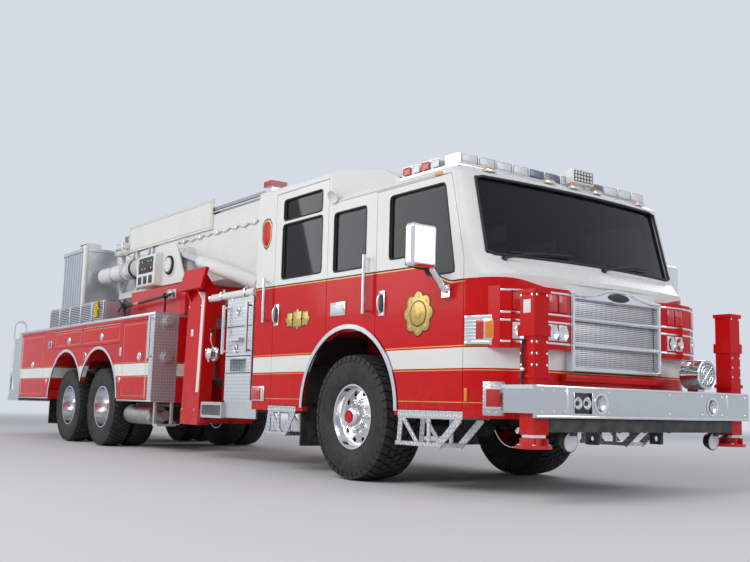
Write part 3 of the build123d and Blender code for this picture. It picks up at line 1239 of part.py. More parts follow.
def main():
    os.makedirs("parts", exist_ok=True)
    front_axle_x = OVERALL_LENGTH / 2 - FRONT_OVERHANG
    for name, solids in all_nodes().items():
        placed = [Pos(front_axle_x, 0, 0) * solid for solid in solids]
        node = placed[0] if len(placed) == 1 else Compound(children=placed)
        export_step(node, f"parts/{name}.step")


main()
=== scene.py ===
"""Dressing of the fire engine: materials, tyres, lamps, handles, seats, trim and rigging on the CAD frame.

Lengths are millimetres here: x from the front axle, y from the middle, z from the ground. Piece.at, X and
Graph.inside turn them into the row frame's metres. Node graphs use metres.
"""

import math

import bmesh
import bpy
from mathutils import Matrix, Vector


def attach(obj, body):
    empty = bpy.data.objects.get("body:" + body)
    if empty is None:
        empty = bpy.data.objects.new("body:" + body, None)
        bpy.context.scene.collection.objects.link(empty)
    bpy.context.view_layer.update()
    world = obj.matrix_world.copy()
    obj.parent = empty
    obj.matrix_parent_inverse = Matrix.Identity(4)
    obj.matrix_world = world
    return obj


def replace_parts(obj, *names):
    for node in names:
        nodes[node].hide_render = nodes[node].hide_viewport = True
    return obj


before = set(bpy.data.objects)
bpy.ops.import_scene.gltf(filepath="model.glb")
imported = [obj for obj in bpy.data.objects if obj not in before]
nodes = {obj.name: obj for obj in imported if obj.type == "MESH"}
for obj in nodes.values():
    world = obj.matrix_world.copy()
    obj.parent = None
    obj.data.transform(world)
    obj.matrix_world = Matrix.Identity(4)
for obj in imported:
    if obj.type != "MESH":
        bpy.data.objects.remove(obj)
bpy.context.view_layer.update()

MM = 0.001
AXLE_X = 4020          # front axle in the row frame
SIDES = {"right": -1, "left": 1}


def X(x):
    """Row-frame metres of an x."""
    return (x + AXLE_X) * MM


def circle(count, start=0.0):
    """Cosine and sine at even steps round a circle."""
    return [(math.cos(start + 2 * math.pi * i / count), math.sin(start + 2 * math.pi * i / count))
            for i in range(count)]


# Node graphs

class Graph:
    """Adds nodes to a material, or to a given tree, and links them."""

    def __init__(self, name, tree=None):
        self.tree, self.place, self.parts, self.normal = tree, None, None, None
        if tree is None:
            self.mat = bpy.data.materials.new(name)
            self.mat.use_nodes = True
            self.tree = self.mat.node_tree
            self.shader = self.tree.nodes["Principled BSDF"]

    def add(self, kind, inputs=(), out=0, **props):
        node = self.tree.nodes.new("ShaderNode" + kind)
        for key, value in props.items():
            setattr(node, key, value)
        for key, value in inputs.items() if isinstance(inputs, dict) else enumerate(inputs):
            if isinstance(value, bpy.types.NodeSocket):
                self.tree.links.new(value, node.inputs[key])
            elif value is not None:
                node.inputs[key].default_value = value
        return node.outputs[out]

    def math(self, op, a, b=None, clamp=False):
        return self.add("Math", [a, b], operation=op, use_clamp=clamp)

    def fold(self, op, values):
        """One value from several, such as the product of masks."""
        total, *rest = values
        for value in rest:
            total = self.math(op, total, value)
        return total

    def vec(self, op, a, b=None, out=0):
        return self.add("VectorMath", [a, b], out, operation=op)

    def scale(self, colour, factor):
        """Colour made lighter or darker by a factor."""
        colour = colour if isinstance(colour, bpy.types.NodeSocket) else colour[:3]
        return self.add("VectorMath", {0: colour, "Scale": factor}, operation="SCALE")

    def mix(self, factor, a, b):
        """Mix of two colours."""
        return self.add("Mix", {0: factor, 6: a, 7: b}, 2, data_type="RGBA")

    def mixf(self, factor, a, b):
        """Mix of two numbers."""
        return self.add("Mix", {0: factor, 2: a, 3: b})

    def coords(self):
        self.place = self.place or self.add("TexCoord", out=3)
        return self.place

    def xyz(self):
        self.parts = self.parts or self.add("SeparateXYZ", [self.coords()]).node.outputs
        return self.parts

    def noise(self, scale, detail=3.0, vector=None):
        return self.add("TexNoise", {"Vector": vector or self.coords(), "Scale": scale, "Detail": detail,
                                     "Roughness": 0.55})

    def ramp(self, value, lo, hi, a=0.0, b=1.0, kind="LINEAR"):
        return self.add("MapRange", [value, lo, hi, a, b], interpolation_type=kind)

    def inside(self, zone):
        """Mask of a zone such as "x>-4300 y>949 z<1700", with y as the distance from the middle."""
        x, y, z = self.xyz()
        values = {"x": x, "y": self.math("ABSOLUTE", y), "z": z}
        masks = []
        for term in zone.split():
            limit = X(float(term[2:])) if term[0] == "x" else float(term[2:]) * MM
            masks.append(self.math("GREATER_THAN" if term[1] == ">" else "LESS_THAN", values[term[0]], limit))
        return self.fold("MULTIPLY", masks)

    def bump(self, height, strength, distance):
        self.normal = self.add("Bump", {"Height": height, "Strength": strength, "Distance": distance,
                                        "Normal": self.normal})
        self.tree.links.new(self.normal, self.shader.inputs["Normal"])

    def set(self, **values):
        for key, value in values.items():
            socket = self.shader.inputs[key.replace("_", " ")]
            if isinstance(value, bpy.types.NodeSocket):
                self.tree.links.new(value, socket)
            else:
                socket.default_value = value


def rgb(r, g, b):
    return (r, g, b, 1.0)


RED = rgb(0.585, 0.008, 0.009)
WHITE = rgb(0.78, 0.78, 0.76)
ALUMINIUM = rgb(0.62, 0.63, 0.65)

# A look is colour, roughness and metallic.
PAINT = (RED, 0.24, 0.0)
WHITE_PAINT = (WHITE, 0.26, 0.0)
BLACK_PAINT = (rgb(0.012, 0.012, 0.013), 0.42, 0.0)
POLISHED = (rgb(0.78, 0.79, 0.81), 0.13, 1.0)
BRUSHED = (ALUMINIUM, 0.34, 1.0)
GOLD_LEAF = (rgb(0.58, 0.40, 0.12), 0.36, 0.7)
CAST_IRON = (rgb(0.07, 0.07, 0.072), 0.62, 0.4)

RED_COAT = 0.22
WHITE_COAT = 0.3
TREAD_PITCH = 0.038


def tread_group():
    """Raised lozenge pattern of tread plate, as a height from plane coordinates."""
    tree = bpy.data.node_groups.new("lozenge_height", "ShaderNodeTree")
    tree.interface.new_socket("Plane", in_out="INPUT", socket_type="NodeSocketVector")
    tree.interface.new_socket("Height", in_out="OUTPUT", socket_type="NodeSocketFloat")
    g = Graph("", tree)
    start, end = tree.nodes.new("NodeGroupInput"), tree.nodes.new("NodeGroupOutput")
    scaled = g.scale(start.outputs[0], 1 / TREAD_PITCH)
    cells = g.add("SeparateXYZ", [g.vec("FLOOR", scaled)]).node.outputs
    part = g.vec("SUBTRACT", g.vec("FRACTION", scaled), (0.5, 0.5, 0.0))
    u, v, _ = g.add("SeparateXYZ", [part]).node.outputs
    half_sum = g.math("MULTIPLY", g.math("ADD", cells[0], cells[1]), 0.5)
    odd = g.math("GREATER_THAN", g.math("FRACT", half_sum), 0.25)
    a, b = g.math("ADD", u, v), g.math("SUBTRACT", u, v)
    length, width = (g.math("POWER", g.math("DIVIDE", g.mixf(odd, p, q), half), 2.0)
                     for p, q, half in ((a, b, 0.62), (b, a, 0.20)))
    tree.links.new(g.ramp(g.math("ADD", length, width), 0.55, 1.05, 1.0, 0.0), end.inputs[0])
    return tree


LOZENGE = tread_group()


def lozenges(g):
    """Lozenge height on whichever plane the face lies in."""
    x, y, z = g.xyz()
    normal = g.add("SeparateXYZ", [g.add("NewGeometry", out=1)]).node.outputs
    heights = []
    for axis, (u, v) in enumerate(((y, z), (x, z), (x, y))):
        group = g.add("Group", node_tree=LOZENGE).node
        g.tree.links.new(g.add("CombineXYZ", [u, v]), group.inputs[0])
        facing = g.math("GREATER_THAN", g.math("ABSOLUTE", normal[axis]), 0.7)
        heights.append(g.math("MULTIPLY", group.outputs[0], facing))
    return g.fold("ADD", heights)


def zoned(name, base, zones=(), coat=0.0, tread=None, dirt=0.10):
    """Material whose look changes by region, with tread plate in a zone or "all" over."""
    g = Graph(name)
    colour, rough, metal = base
    for zone, look in zones:
        mask = zone(g) if callable(zone) else g.inside(zone)
        colour = g.mix(mask, colour, look[0])
        rough = g.mixf(mask, rough, look[1])
        if metal != look[2]:
            metal = g.mixf(mask, metal, look[2])
    if tread:
        height = lozenges(g)
        darker = g.scale(colour, 0.92)
        if tread == "all":
            colour = darker
        else:
            mask = g.inside(tread)
            height = g.math("MULTIPLY", height, mask)
            colour = g.mix(mask, colour, darker)
        # Painted highlight: the raised lozenges are painted near white and less metallic, standing in for the
        # glint they catch, over a flat made a little darker.
        colour = g.mix(height, colour, rgb(0.90, 0.91, 0.92))
        metal = g.mixf(g.math("MULTIPLY", height, 0.45), metal, 0.0)
        g.bump(height, 0.35, 0.0016)
    colour = g.scale(colour, g.ramp(g.noise(2.3, 4.0), 0.25, 0.75, 0.955, 1.03))
    if dirt:
        low = g.ramp(g.xyz()[2], 0.25, 0.95, 1.0, 0.0)
        patch = g.ramp(g.noise(9.0, 5.0), 0.40, 0.75, 0.0, dirt * 3)
        dusty = g.math("MULTIPLY", low, patch, clamp=True)
        colour = g.mix(dusty, colour, rgb(0.20, 0.18, 0.155))
        rough = g.mixf(dusty, rough, 0.7)
    rough = g.math("ADD", rough, g.ramp(g.noise(38.0), 0.3, 0.7, -0.02, 0.03), clamp=True)
    g.set(Base_Color=colour, Roughness=rough, Metallic=metal)
    if coat:
        g.set(Coat_Weight=coat, Coat_Roughness=0.04, Coat_IOR=1.25, Specular_IOR_Level=0.10)
    g.bump(g.noise(210.0, 2.0), 0.05, 0.0004)
    return g.mat


# Materials

STRIPES = [("z>951 z<1105", WHITE_PAINT), ("z>1117 z<1124", GOLD_LEAF), ("z>932 z<939", GOLD_LEAF)]


def over_belt(low, high=None):
    """Zone between two heights over the cab's belt line, which drops towards the windscreen."""
    def mask(g):
        x, _, z = g.xyz()
        drop = g.ramp(x, X(980), X(1420), 0.0, 0.155, "SMOOTHSTEP")
        line = g.math("SUBTRACT", g.ramp(x, X(-1600), X(1000), 1.822, 1.785), drop)
        height = g.math("SUBTRACT", z, line)
        over = g.math("GREATER_THAN", height, low * MM)
        return over if high is None else g.math("MULTIPLY", over, g.math("LESS_THAN", height, high * MM))
    return mask


def nose(g):
    """White part of the cab's front, over a line that climbs towards the corners."""
    _, y, z = g.xyz()
    line = g.ramp(g.math("ABSOLUTE", y), 0.56, 1.10, 1.560, 1.632, "SMOOTHSTEP")
    return g.math("MULTIPLY", g.math("GREATER_THAN", z, line), g.inside("x>1660"))


def behind_nose(g):
    return g.math("MULTIPLY", over_belt(0)(g), g.inside("x<1660"))


CAB_LINES = [*STRIPES, ("z>690 z<696", GOLD_LEAF)]
CAB_FRONT = [*CAB_LINES, (nose, WHITE_PAINT), ("x>1700 y<575 z>1100", WHITE_PAINT),
             (behind_nose, WHITE_PAINT)]
CAB_SIDES = [*CAB_LINES, (over_belt(0), WHITE_PAINT), (over_belt(-22, -14), GOLD_LEAF),
             (over_belt(-10, 0), BLACK_PAINT), ("y<1188.5", (rgb(0.17, 0.17, 0.18), 0.6, 0.0))]

BODY_DOORS = {"rear_locker": (-9677, -8473, 645, 1665), "aft_top_locker": (-8000, -6755, 1385, 1665),
              "fore_top_locker": (-6735, -5265, 1385, 1665), "front_locker": (-5190, -4360, 645, 1665)}


def door_lines(g):
    """Thin gold rectangle just inside the edge of each locker door."""
    rings = []
    for x0, x1, z0, z1 in BODY_DOORS.values():
        outer, inner = (g.inside(f"x>{x0 + e} x<{x1 - e} z>{z0 + e} z<{z1 - e}") for e in (45, 51))
        rings.append(g.math("SUBTRACT", outer, inner))
    return g.fold("MAXIMUM", rings)


def locker_inside(g):
    """Walls of the four lockers behind the body's doors."""
    return g.fold("MAXIMUM", [g.inside(f"x>{x0} x<{x1} y>660 y<1237.5 z>{z0} z<1666") for x0, x1, z0 in (
        (-5190, -4360, 645), (-6740, -5260, 1385), (-8000, -6755, 1385), (-9690, -8470, 645))])


def mesh_grille(g):
    """Holes of the woven mesh in front of the grille's bars."""
    _, y, z = g.xyz()
    a, b = (g.math("SINE", g.math("MULTIPLY", g.math(op, y, z), 210.0)) for op in ("ADD", "SUBTRACT"))
    return g.math("GREATER_THAN", g.math("MULTIPLY", a, b), 0.10)


def glass(name, tint):
    g = Graph(name)
    streak = g.noise(3.0, vector=g.vec("MULTIPLY", g.coords(), (1.0, 1.0, 0.3)))
    g.set(Base_Color=tint, Metallic=0.0, Roughness=g.ramp(streak, 0.3, 0.7, 0.012, 0.03), IOR=1.28,
          Transmission_Weight=0.92)
    return g.mat


def lens(name, colour, light=0.0):
    """Ribbed coloured lens."""
    g = Graph(name)
    x, y, _ = g.xyz()
    tone = g.ramp(g.noise(60.0, 2.0), 0.3, 0.7, 0.85, 1.05)
    g.set(Base_Color=g.scale(colour, tone), Roughness=0.12, Coat_Weight=0.6, Coat_Roughness=0.03)
    if light:
        g.set(Emission_Color=colour, Emission_Strength=light)
    g.bump(g.math("SINE", g.math("MULTIPLY", g.math("ADD", x, y), 620.0)), 0.35, 0.0009)
    return g.mat


def tyre_material():
    g = Graph("tyre_rubber")
    grey = g.scale(rgb(0.020, 0.0195, 0.019), g.ramp(g.noise(14.0, 5.0), 0.3, 0.75, 0.7, 1.5))
    dust = g.ramp(g.noise(5.0, 6.0), 0.45, 0.8, 0.0, 0.35)
    g.set(Base_Color=g.mix(dust, grey, rgb(0.085, 0.078, 0.068)),
          Roughness=g.ramp(g.noise(30.0), 0.3, 0.7, 0.68, 0.85))
    g.bump(g.noise(160.0, 4.0), 0.25, 0.0012)
    return g.mat


def fabric_material():
    g = Graph("seat_weave")
    x, y, z = g.xyz()
    weave = g.math("MULTIPLY", g.math("SINE", g.math("MULTIPLY", g.math("ADD", x, z), 1400.0)),
                   g.math("SINE", g.math("MULTIPLY", y, 1400.0)))
    tone = g.ramp(g.noise(24.0), 0.3, 0.7, 0.75, 1.25)
    g.set(Base_Color=g.scale(rgb(0.055, 0.056, 0.060), tone), Roughness=0.9, Sheen_Weight=0.3,
          Sheen_Roughness=0.5)
    g.bump(weave, 0.3, 0.0008)
    return g.mat


BODY_LINES = [*STRIPES, (door_lines, GOLD_LEAF)]
M = {
    "cab_side": zoned("cab_paint_two_tone", PAINT, CAB_SIDES, RED_COAT),
    "cab_front": zoned("cab_front_paint", PAINT, CAB_FRONT, RED_COAT),
    "red": zoned("red_enamel", PAINT, coat=RED_COAT),
    "white": zoned("white_enamel", WHITE_PAINT, coat=WHITE_COAT),
    "black": zoned("black_enamel", BLACK_PAINT, dirt=0.22),
    "polished": zoned("polished_metal", POLISHED, dirt=0.05),
    "brushed": zoned("brushed_aluminium", BRUSHED, dirt=0.08),
    "tread": zoned("tread_plate_bright", (ALUMINIUM, 0.27, 1.0), tread="all", dirt=0.12),
    "rubber": zoned("black_rubber", (rgb(0.018, 0.018, 0.018), 0.72, 0.0), dirt=0.18),
    "gold": zoned("gold_leaf", GOLD_LEAF, dirt=0.0),
    "plastic": zoned("black_plastic_grain", (rgb(0.02, 0.02, 0.021), 0.5, 0.0), dirt=0.0),
    "yellow": zoned("yellow_enamel", (rgb(0.72, 0.50, 0.02), 0.35, 0.0), coat=0.3, dirt=0.05),
    "belt": zoned("belt_webbing", (rgb(0.55, 0.12, 0.02), 0.8, 0.0), dirt=0.0),
    "interior": zoned("interior_vinyl", (rgb(0.055, 0.055, 0.058), 0.6, 0.0), dirt=0.0),
    "mesh": zoned("woven_mesh", (rgb(0.66, 0.67, 0.69), 0.42, 0.6),
                  [(mesh_grille, (rgb(0.10, 0.10, 0.105), 0.6, 0.3))], dirt=0.0),
    "glass": glass("tinted_glass", rgb(0.085, 0.100, 0.105)),
    "clear": glass("clear_lens", rgb(0.90, 0.92, 0.93)),
    "lens_red": lens("red_lens", rgb(0.50, 0.010, 0.012), 0.12),
    "lens_amber": lens("amber_lens", rgb(0.80, 0.26, 0.01), 0.10),
    "lens_clear": lens("clear_ribbed_lens", rgb(0.72, 0.74, 0.76)),
    "lens_blue": lens("blue_grey_lens", rgb(0.075, 0.10, 0.19)),
    "tyre": tyre_material(),
    "fabric": fabric_material(),
    "body": zoned("body_paint", PAINT, [
        *BODY_LINES, (locker_inside, (rgb(0.40, 0.41, 0.42), 0.45, 0.6)), ("z>1700", BRUSHED),
        ("z<612", BLACK_PAINT), ("x>-4300 y>949", (ALUMINIUM, 0.36, 0.75))],
        RED_COAT, "x>-4300 y>949 z>612 z<1700"),
    "body_door": zoned("body_door_paint", PAINT, [
        *BODY_LINES, ("y<1240.5", (ALUMINIUM, 0.40, 0.9))], RED_COAT),
    "centre": zoned("deck_and_tail", BRUSHED, [
        ("x>-5900 y<905 z>1739.1", PAINT),
        ("x>-8600 x<-6050 y>600 z>1739.1", (rgb(0.48, 0.49, 0.51), 0.36, 0.85)),
        ("x>-6500 x<-6200 y<450 z>1745", WHITE_PAINT),
        ("x<-10190 y>1030 z>1050", WHITE_PAINT)], tread="z<1739.05", dirt=0.14),
    "leg": zoned("stabiliser_paint", PAINT, [
        ("x>-3105 x<-3035 y>1020 z>750 z<1900", WHITE_PAINT)], WHITE_COAT),
    "barrel": zoned("cylinder_paint", WHITE_PAINT, coat=WHITE_COAT),
    "floor_box": zoned("cab_floor_finish", (rgb(0.06, 0.06, 0.062), 0.65, 0.0), [
        ("x>-800 x<800 z<1330", PAINT), ("x<-790 z<660", (rgb(0.02, 0.02, 0.02), 0.7, 0.0))], dirt=0.2),
    "light_bar": zoned("light_bar_finish", (rgb(0.62, 0.64, 0.66), 0.16, 0.35), [
        ("z<2579", BRUSHED), ("x<-1400 z>2890", (rgb(0.42, 0.012, 0.014), 0.15, 0.0)),
        ("x>1376", WHITE_PAINT)], dirt=0.0),
    "jack": zoned("jack_leg_finish", POLISHED, [("z<460", PAINT)], dirt=0.1),
    "bumper": zoned("bumper_finish", (rgb(0.60, 0.61, 0.62), 0.09, 1.0), [
        ("x<2284 z>797 z<824.5", (ALUMINIUM, 0.3, 1.0))], tread="x<2284 z>823.5 z<824.5", dirt=0.05),
    "tower": zoned("step_tower_finish", (ALUMINIUM, 0.34, 0.8), [
        ("x<-1880 y>1070 z>1774", WHITE_PAINT), ("x>-2445 x<-1730 z<664", (ALUMINIUM, 0.36, 0.9))],
        tread="z>664 z<1774", dirt=0.12),
    "steps": zoned("cab_step_finish", (ALUMINIUM, 0.27, 1.0), [
        ("x>-822 x<-798 z<661", (rgb(0.018, 0.018, 0.018), 0.75, 0.0))], tread="all", dirt=0.12),
    "drive": zoned("engine_and_silencer", CAST_IRON, [
        ("x>-5600 x<-2950 y>720", (rgb(0.50, 0.49, 0.47), 0.38, 0.9))], dirt=0.25),
    "lamp_house": zoned("lamp_housing_finish", PAINT, [("x<1765 y>1050 z>1120 z<1345", POLISHED)], RED_COAT),
    "boom": zoned("boom_paint", WHITE_PAINT, [
        ("y<500 z>3091 z<3200", (rgb(0.30, 0.31, 0.33), 0.35, 0.9))], WHITE_COAT),
    "basket": zoned("basket_finish", (rgb(0.60, 0.62, 0.66), 0.30, 0.9), [
        ("z>3010.5", WHITE_PAINT), ("x>-7790 y>905", WHITE_PAINT)]),
}

# CAD nodes by look; a name that ends in an underscore is on both sides.
DRESS = {
    "black": "chassis_frame axles knuckle_", "drive": "powertrain", "floor_box": "cab_floor",
    "cab_front": "cab_front", "red": "cab_back jack_columns pedestal", "white": "cab_roof turntable",
    "cab_side": "cab_sides front_door_ crew_door_", "glass": "cab_glass front_door_glass_ crew_door_glass_",
    "interior": "cab_seats dashboard", "bumper": "bumper", "polished": "grille bright_trim lift_rods mirror_",
    "lamp_house": "front_lamps", "light_bar": "light_bar", "steps": "cab_steps", "tower": "step_tower",
    "body": "body_sides", "centre": "body_centre", "barrel": "lift_barrels", "basket": "basket",
    "boom": "boom_base boom_mid boom_fly", "jack": "jack_leg_", "leg": "outrigger_",
    "body_door": "front_locker_door_ fore_top_locker_door_ aft_top_locker_door_ rear_locker_door_",
}
for look, names in DRESS.items():
    for name in names.split():
        for side in SIDES if name.endswith("_") else [""]:
            for material_slot in nodes[name + side].material_slots:
                material_slot.material = M[look]


# Mesh pieces

OUT, FORWARD, BACK, UP = (0, 1, 0), (1, 0, 0), (-1, 0, 0), (0, 0, 1)


def bridge(bm, a, b):
    """Faces between two closed rings of points."""
    for i in range(len(a)):
        j = (i + 1) % len(a)
        bm.faces.new((a[i], a[j], b[j], b[i]))


def round_edges(bm, width, segments):
    bmesh.ops.bevel(bm, geom=bm.edges[:], offset=width, segments=segments, affect="EDGES", profile=0.5)


def facing(direction, track="Z", up="Y"):
    """Turn that points a shape's own axis in a direction."""
    return Vector(direction).to_track_quat(track, up).to_matrix().to_4x4()


def smooth_path(points, steps):
    """Points along a smooth curve through the given ones."""
    pts = [points[0] * 2 - points[1], *points, points[-1] * 2 - points[-2]]
    out = []
    for i in range(1, len(pts) - 2):
        a, b, c, d = pts[i - 1:i + 3]
        for t in (k / steps for k in range(steps)):
            out.append(0.5 * ((2 * b) + (c - a) * t + (2 * a - 5 * b + 4 * c - d) * t * t
                              + (3 * b - a - 3 * c + d) * t ** 3))
    return [*out, pts[-2]]


class Piece:
    """Shapes collected in one mesh that rides on a body. On a side's piece y points outward."""

    def __init__(self, name, body="chassis", slot="bright_metal", side=None, s=1):
        self.name, self.body, self.slot_name, self.s = name, body, slot, s
        if side:
            self.name, self.s = f"{name}_{side}", SIDES[side]
            if body != "chassis":
                self.body = f"{body}_{side}"
        self.bm = bmesh.new()
        self.mats = []

    def at(self, point):
        """Row-frame place of a point."""
        x, y, z = point
        return Vector((X(x), y * self.s * MM, z * MM))

    def take(self, other, look, matrix=None):
        """Move the faces of another bmesh in here."""
        mesh = bpy.data.meshes.new("part")
        if matrix is not None:
            bmesh.ops.transform(other, matrix=matrix, verts=other.verts)
        if look not in self.mats:
            self.mats.append(look)
        for face in other.faces:
            face.material_index = self.mats.index(look)
            face.smooth = True
        other.to_mesh(mesh)
        other.free()
        self.bm.from_mesh(mesh)
        bpy.data.meshes.remove(mesh)

    def close(self, bm, look, matrix=None, bevel=0):
        """Turn a bmesh's faces outwards, round its edges and move it in here."""
        bmesh.ops.recalc_face_normals(bm, faces=bm.faces)
        if bevel:
            round_edges(bm, bevel * MM, 2)
        self.take(bm, look, matrix)

    def box(self, look, x0, x1, y0, y1, z0, z1, bevel, segments=2, place=None):
        bm = bmesh.new()
        bmesh.ops.create_cube(bm, size=1.0)
        lengths = [abs(b - a) * MM for a, b in ((x0, x1), (y0, y1), (z0, z1))]
        middle = ((x0 + x1) / 2, (y0 + y1) / 2, (z0 + z1) / 2)
        centre = Matrix.Translation(Vector(middle) * MM if place else self.at(middle))
        bmesh.ops.transform(bm, matrix=centre @ Matrix.Diagonal((*lengths, 1)), verts=bm.verts)
        bevel = min(bevel * MM, 0.45 * min(lengths))
        if bevel > 0:
            round_edges(bm, bevel, segments)
        self.take(bm, look, place)

    def boxes(self, *rows):
        for row in rows:
            self.box(*row)

    def turned(self, look, profile, origin, axis, segments):
        bm = bmesh.new()
        turns = circle(segments)
        rings = [[bm.verts.new((r * c * MM, r * s * MM, d * MM)) for c, s in (turns if r else turns[:1])]
                 for d, r in profile]
        for a, b in zip(rings, rings[1:]):
            for i in range(segments):
                j = (i + 1) % segments
                corners = dict.fromkeys((a[i % len(a)], a[j % len(a)], b[j % len(b)], b[i % len(b)]))
                if len(corners) > 2:
                    bm.faces.new(tuple(corners))
        self.close(bm, look, Matrix.Translation(origin) @ facing(axis))

    def lathe(self, look, profile, at, axis=OUT, segments=28):
        """Turned shape: profile of (distance along axis, radius) points."""
        self.turned(look, profile, self.at(at), (axis[0], axis[1] * self.s, axis[2]), segments)

    def bolts(self, spots, r=11, base=-2, top=8, axis=OUT):
        """Hexagonal bolt heads."""
        for spot in spots:
            self.lathe("polished", [(base, r), (top - 2, r - 1), (top, 0)], spot, axis, 6)

    def rod(self, look, a, b, r, segments=16):
        a, b = self.at(a), self.at(b)
        n = (b - a).length / MM
        e = min(2, r * 0.4, n * 0.4)
        self.turned(look, [(0, 0), (0, r - e), (e, r), (n - e, r), (n, r - e), (n, 0)], a, b - a, segments)

    def prism(self, look, points, axis, lo, hi, bevel=3):
        """Outline of plane points carried along x, y or z."""
        order = {"x": (2, 0, 1), "y": (0, 2, 1), "z": (0, 1, 2)}[axis]
        bm = bmesh.new()
        ends = [[bm.verts.new(self.at([(p, q, t)[k] for k in order])) for p, q in points] for t in (lo, hi)]
        for end in ends:
            bm.faces.new(end)
        bridge(bm, *ends)
        self.close(bm, look, bevel=bevel)

    def pipe(self, look, points, r, segments):
        """Round bar through row-frame points, with mitred joints."""
        bm = bmesh.new()
        rings = []
        side = None
        for i, p in enumerate(points):
            before = (p - points[i - 1]).normalized() if i else (points[1] - p).normalized()
            after = (points[i + 1] - p).normalized() if i + 1 < len(points) else before
            t = (before + after).normalized()
            side = side or t.orthogonal().normalized()
            side = (side - t * side.dot(t)).normalized()
            up = t.cross(side)
            grow = min(1 / max(0.5, before.dot(t)), 1.3)
            rings.append([bm.verts.new(p + (side * c + up * s) * r * MM * grow) for c, s in circle(segments)])
        for a, b in zip(rings, rings[1:]):
            bridge(bm, a, b)
        bm.faces.new(rings[0][::-1])
        bm.faces.new(rings[-1])
        self.close(bm, look)

    def tube(self, look, points, r, segments=8):
        self.pipe(look, [self.at(p) for p in points], r, segments)

    def bent(self, look, points, r, segments=8, steps=6):
        """Tube along a smooth curve."""
        self.pipe(look, smooth_path([self.at(p) for p in points], steps), r, segments)

    def done(self, angle=35):
        mesh = bpy.data.meshes.new(self.name)
        self.bm.to_mesh(mesh)
        self.bm.free()
        for look in self.mats:
            mesh.materials.append(M[look])
        mesh.set_sharp_from_angle(angle=math.radians(angle))
        obj = bpy.data.objects.new(self.name, mesh)
        bpy.context.scene.collection.objects.link(obj)
        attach(obj, self.body)
        return obj


# Wheels

# Rows of tread blocks: from and to, as shares of half the width, and phase, as a share of the pitch.
TREAD_ROWS = ((-0.93, -0.58, 0.0), (-0.53, -0.20, 0.5), (-0.15, 0.15, 0.0), (0.20, 0.53, 0.5),
              (0.58, 0.93, 0.0))
SHOULDER = 0.9
RIM_R, BEAD_R = 285.2, 285.3


def tyre(piece, centre, radius, width, lugs):
    """Tyre with tread blocks and shoulder ribs."""
    half, tread_base = width / 2, radius - 17
    profile = [(-half * share, r) for share, r in (
        (0.80, BEAD_R), (0.90, BEAD_R + 30), (0.985, radius * 0.74), (0.985, radius * 0.80),
        (0.97, radius - 75), (0.93, radius - 40), (0.86, tread_base - 6), (0.5, tread_base),
        (0, tread_base + 1))]
    profile += [(-d, r) for d, r in reversed(profile[:-1])]
    piece.lathe("tyre", profile, centre, segments=72)
    for ring in (radius * 0.74, radius * 0.80):
        for s in (-1, 1):
            y = half * 0.985 * s
            piece.lathe("tyre", [(y - 4 * s, ring - 6), (y + 1.5 * s, ring - 3), (y + 1.5 * s, ring + 3),
                                 (y - 4 * s, ring + 6)], centre, segments=72)
    bm = bmesh.new()
    step = 2 * math.pi / lugs

    def polar(r, a, share):
        return bm.verts.new((r * math.cos(a) * MM, r * math.sin(a) * MM, share * half * MM))

    for lo, hi, phase in TREAD_ROWS:
        slant = 0.16 * step * (1 if lo >= 0 else -1)
        end = -1 if lo < 0 else 1
        for i in range(lugs):
            a0, a1 = step * (i + phase + 0.06), step * (i + phase + 0.80)
            corners = ((lo, a0 - slant), (hi, a0 + slant), (hi, a1 + slant), (lo, a1 - slant))
            low = [polar(tread_base - 12, a, y) for y, a in corners]
            high = [polar(radius - (12 if abs(y) > SHOULDER else 1), a, y) for y, a in corners]
            bm.faces.new(high)
            bridge(bm, low, high)
            if max(-lo, hi) > SHOULDER:
                rib = ((13, a0, 0.935), (13, a1, 0.935), (62, a1, 0.992), (62, a0, 0.992))
                face, back = ([polar(radius - drop, a, end * (share - depth)) for drop, a, share in rib]
                              for depth in (0, 0.06))
                bm.faces.new(face)
                bridge(bm, back, face)
    piece.close(bm, "tyre", Matrix.Translation(piece.at(centre)) @ facing((0, piece.s, 0)))


def rim_from(node, x, z):
    """The rim's own faces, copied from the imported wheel."""
    bm = bmesh.new()
    bm.from_mesh(nodes[node].data)
    far = [v for v in bm.verts if math.hypot(v.co.x - X(x), v.co.z - z * MM) > RIM_R * MM]
    bmesh.ops.delete(bm, geom=far, context="VERTS")
    bmesh.ops.remove_doubles(bm, verts=bm.verts, dist=0.00005)
    return bm


for side, s in SIDES.items():
    for name, x, y, radius, width, offsets, cap, nut, lugs in (
            ("front_wheel", 0, 990, 550, 420, [0], 205, 84, 44),
            ("fore_wheels", -6044, 890, 535, 280, [170, -170], 178, 6, 46),
            ("aft_wheels", -7408, 890, 535, 280, [170, -170], 178, 6, 46)):
        node = f"{name}_{side}"
        piece = Piece(node + "_dressed", node, "tyre", s=s)
        piece.take(rim_from(node, x, radius), "polished")
        for offset in offsets:
            tyre(piece, (x, y + offset, radius), radius, width, lugs)
        piece.lathe("red", [(0, 56), (4, 58), (12, 54), (18, 0)], (x, y + cap, radius), segments=32)
        for c, d in circle(10):
            piece.lathe("polished", [(0, 20.5), (18, 20.5), (34, 13), (40, 0)],
                        (x + 142 * c, y + nut, radius + 142 * d), segments=12)
        obj = piece.done(32)
        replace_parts(obj, node)


# Cab trim

CAB_Y = 1237
WINDOWS = {
    "front_door": [[(585, 1875), (980, 1875), (1090, 1690), (1425, 1690), (1300, 2420), (585, 2420)]],
    "crew_door": [[(-1180, 1870), (-460, 1870), (-460, 2420), (-1180, 2420)],
                  [(-1170, 2460), (-470, 2460), (-470, 2670), (-1170, 2670)]],
    "chassis": [[(-260, 1850), (245, 1850), (245, 2400), (-260, 2400)]],
}


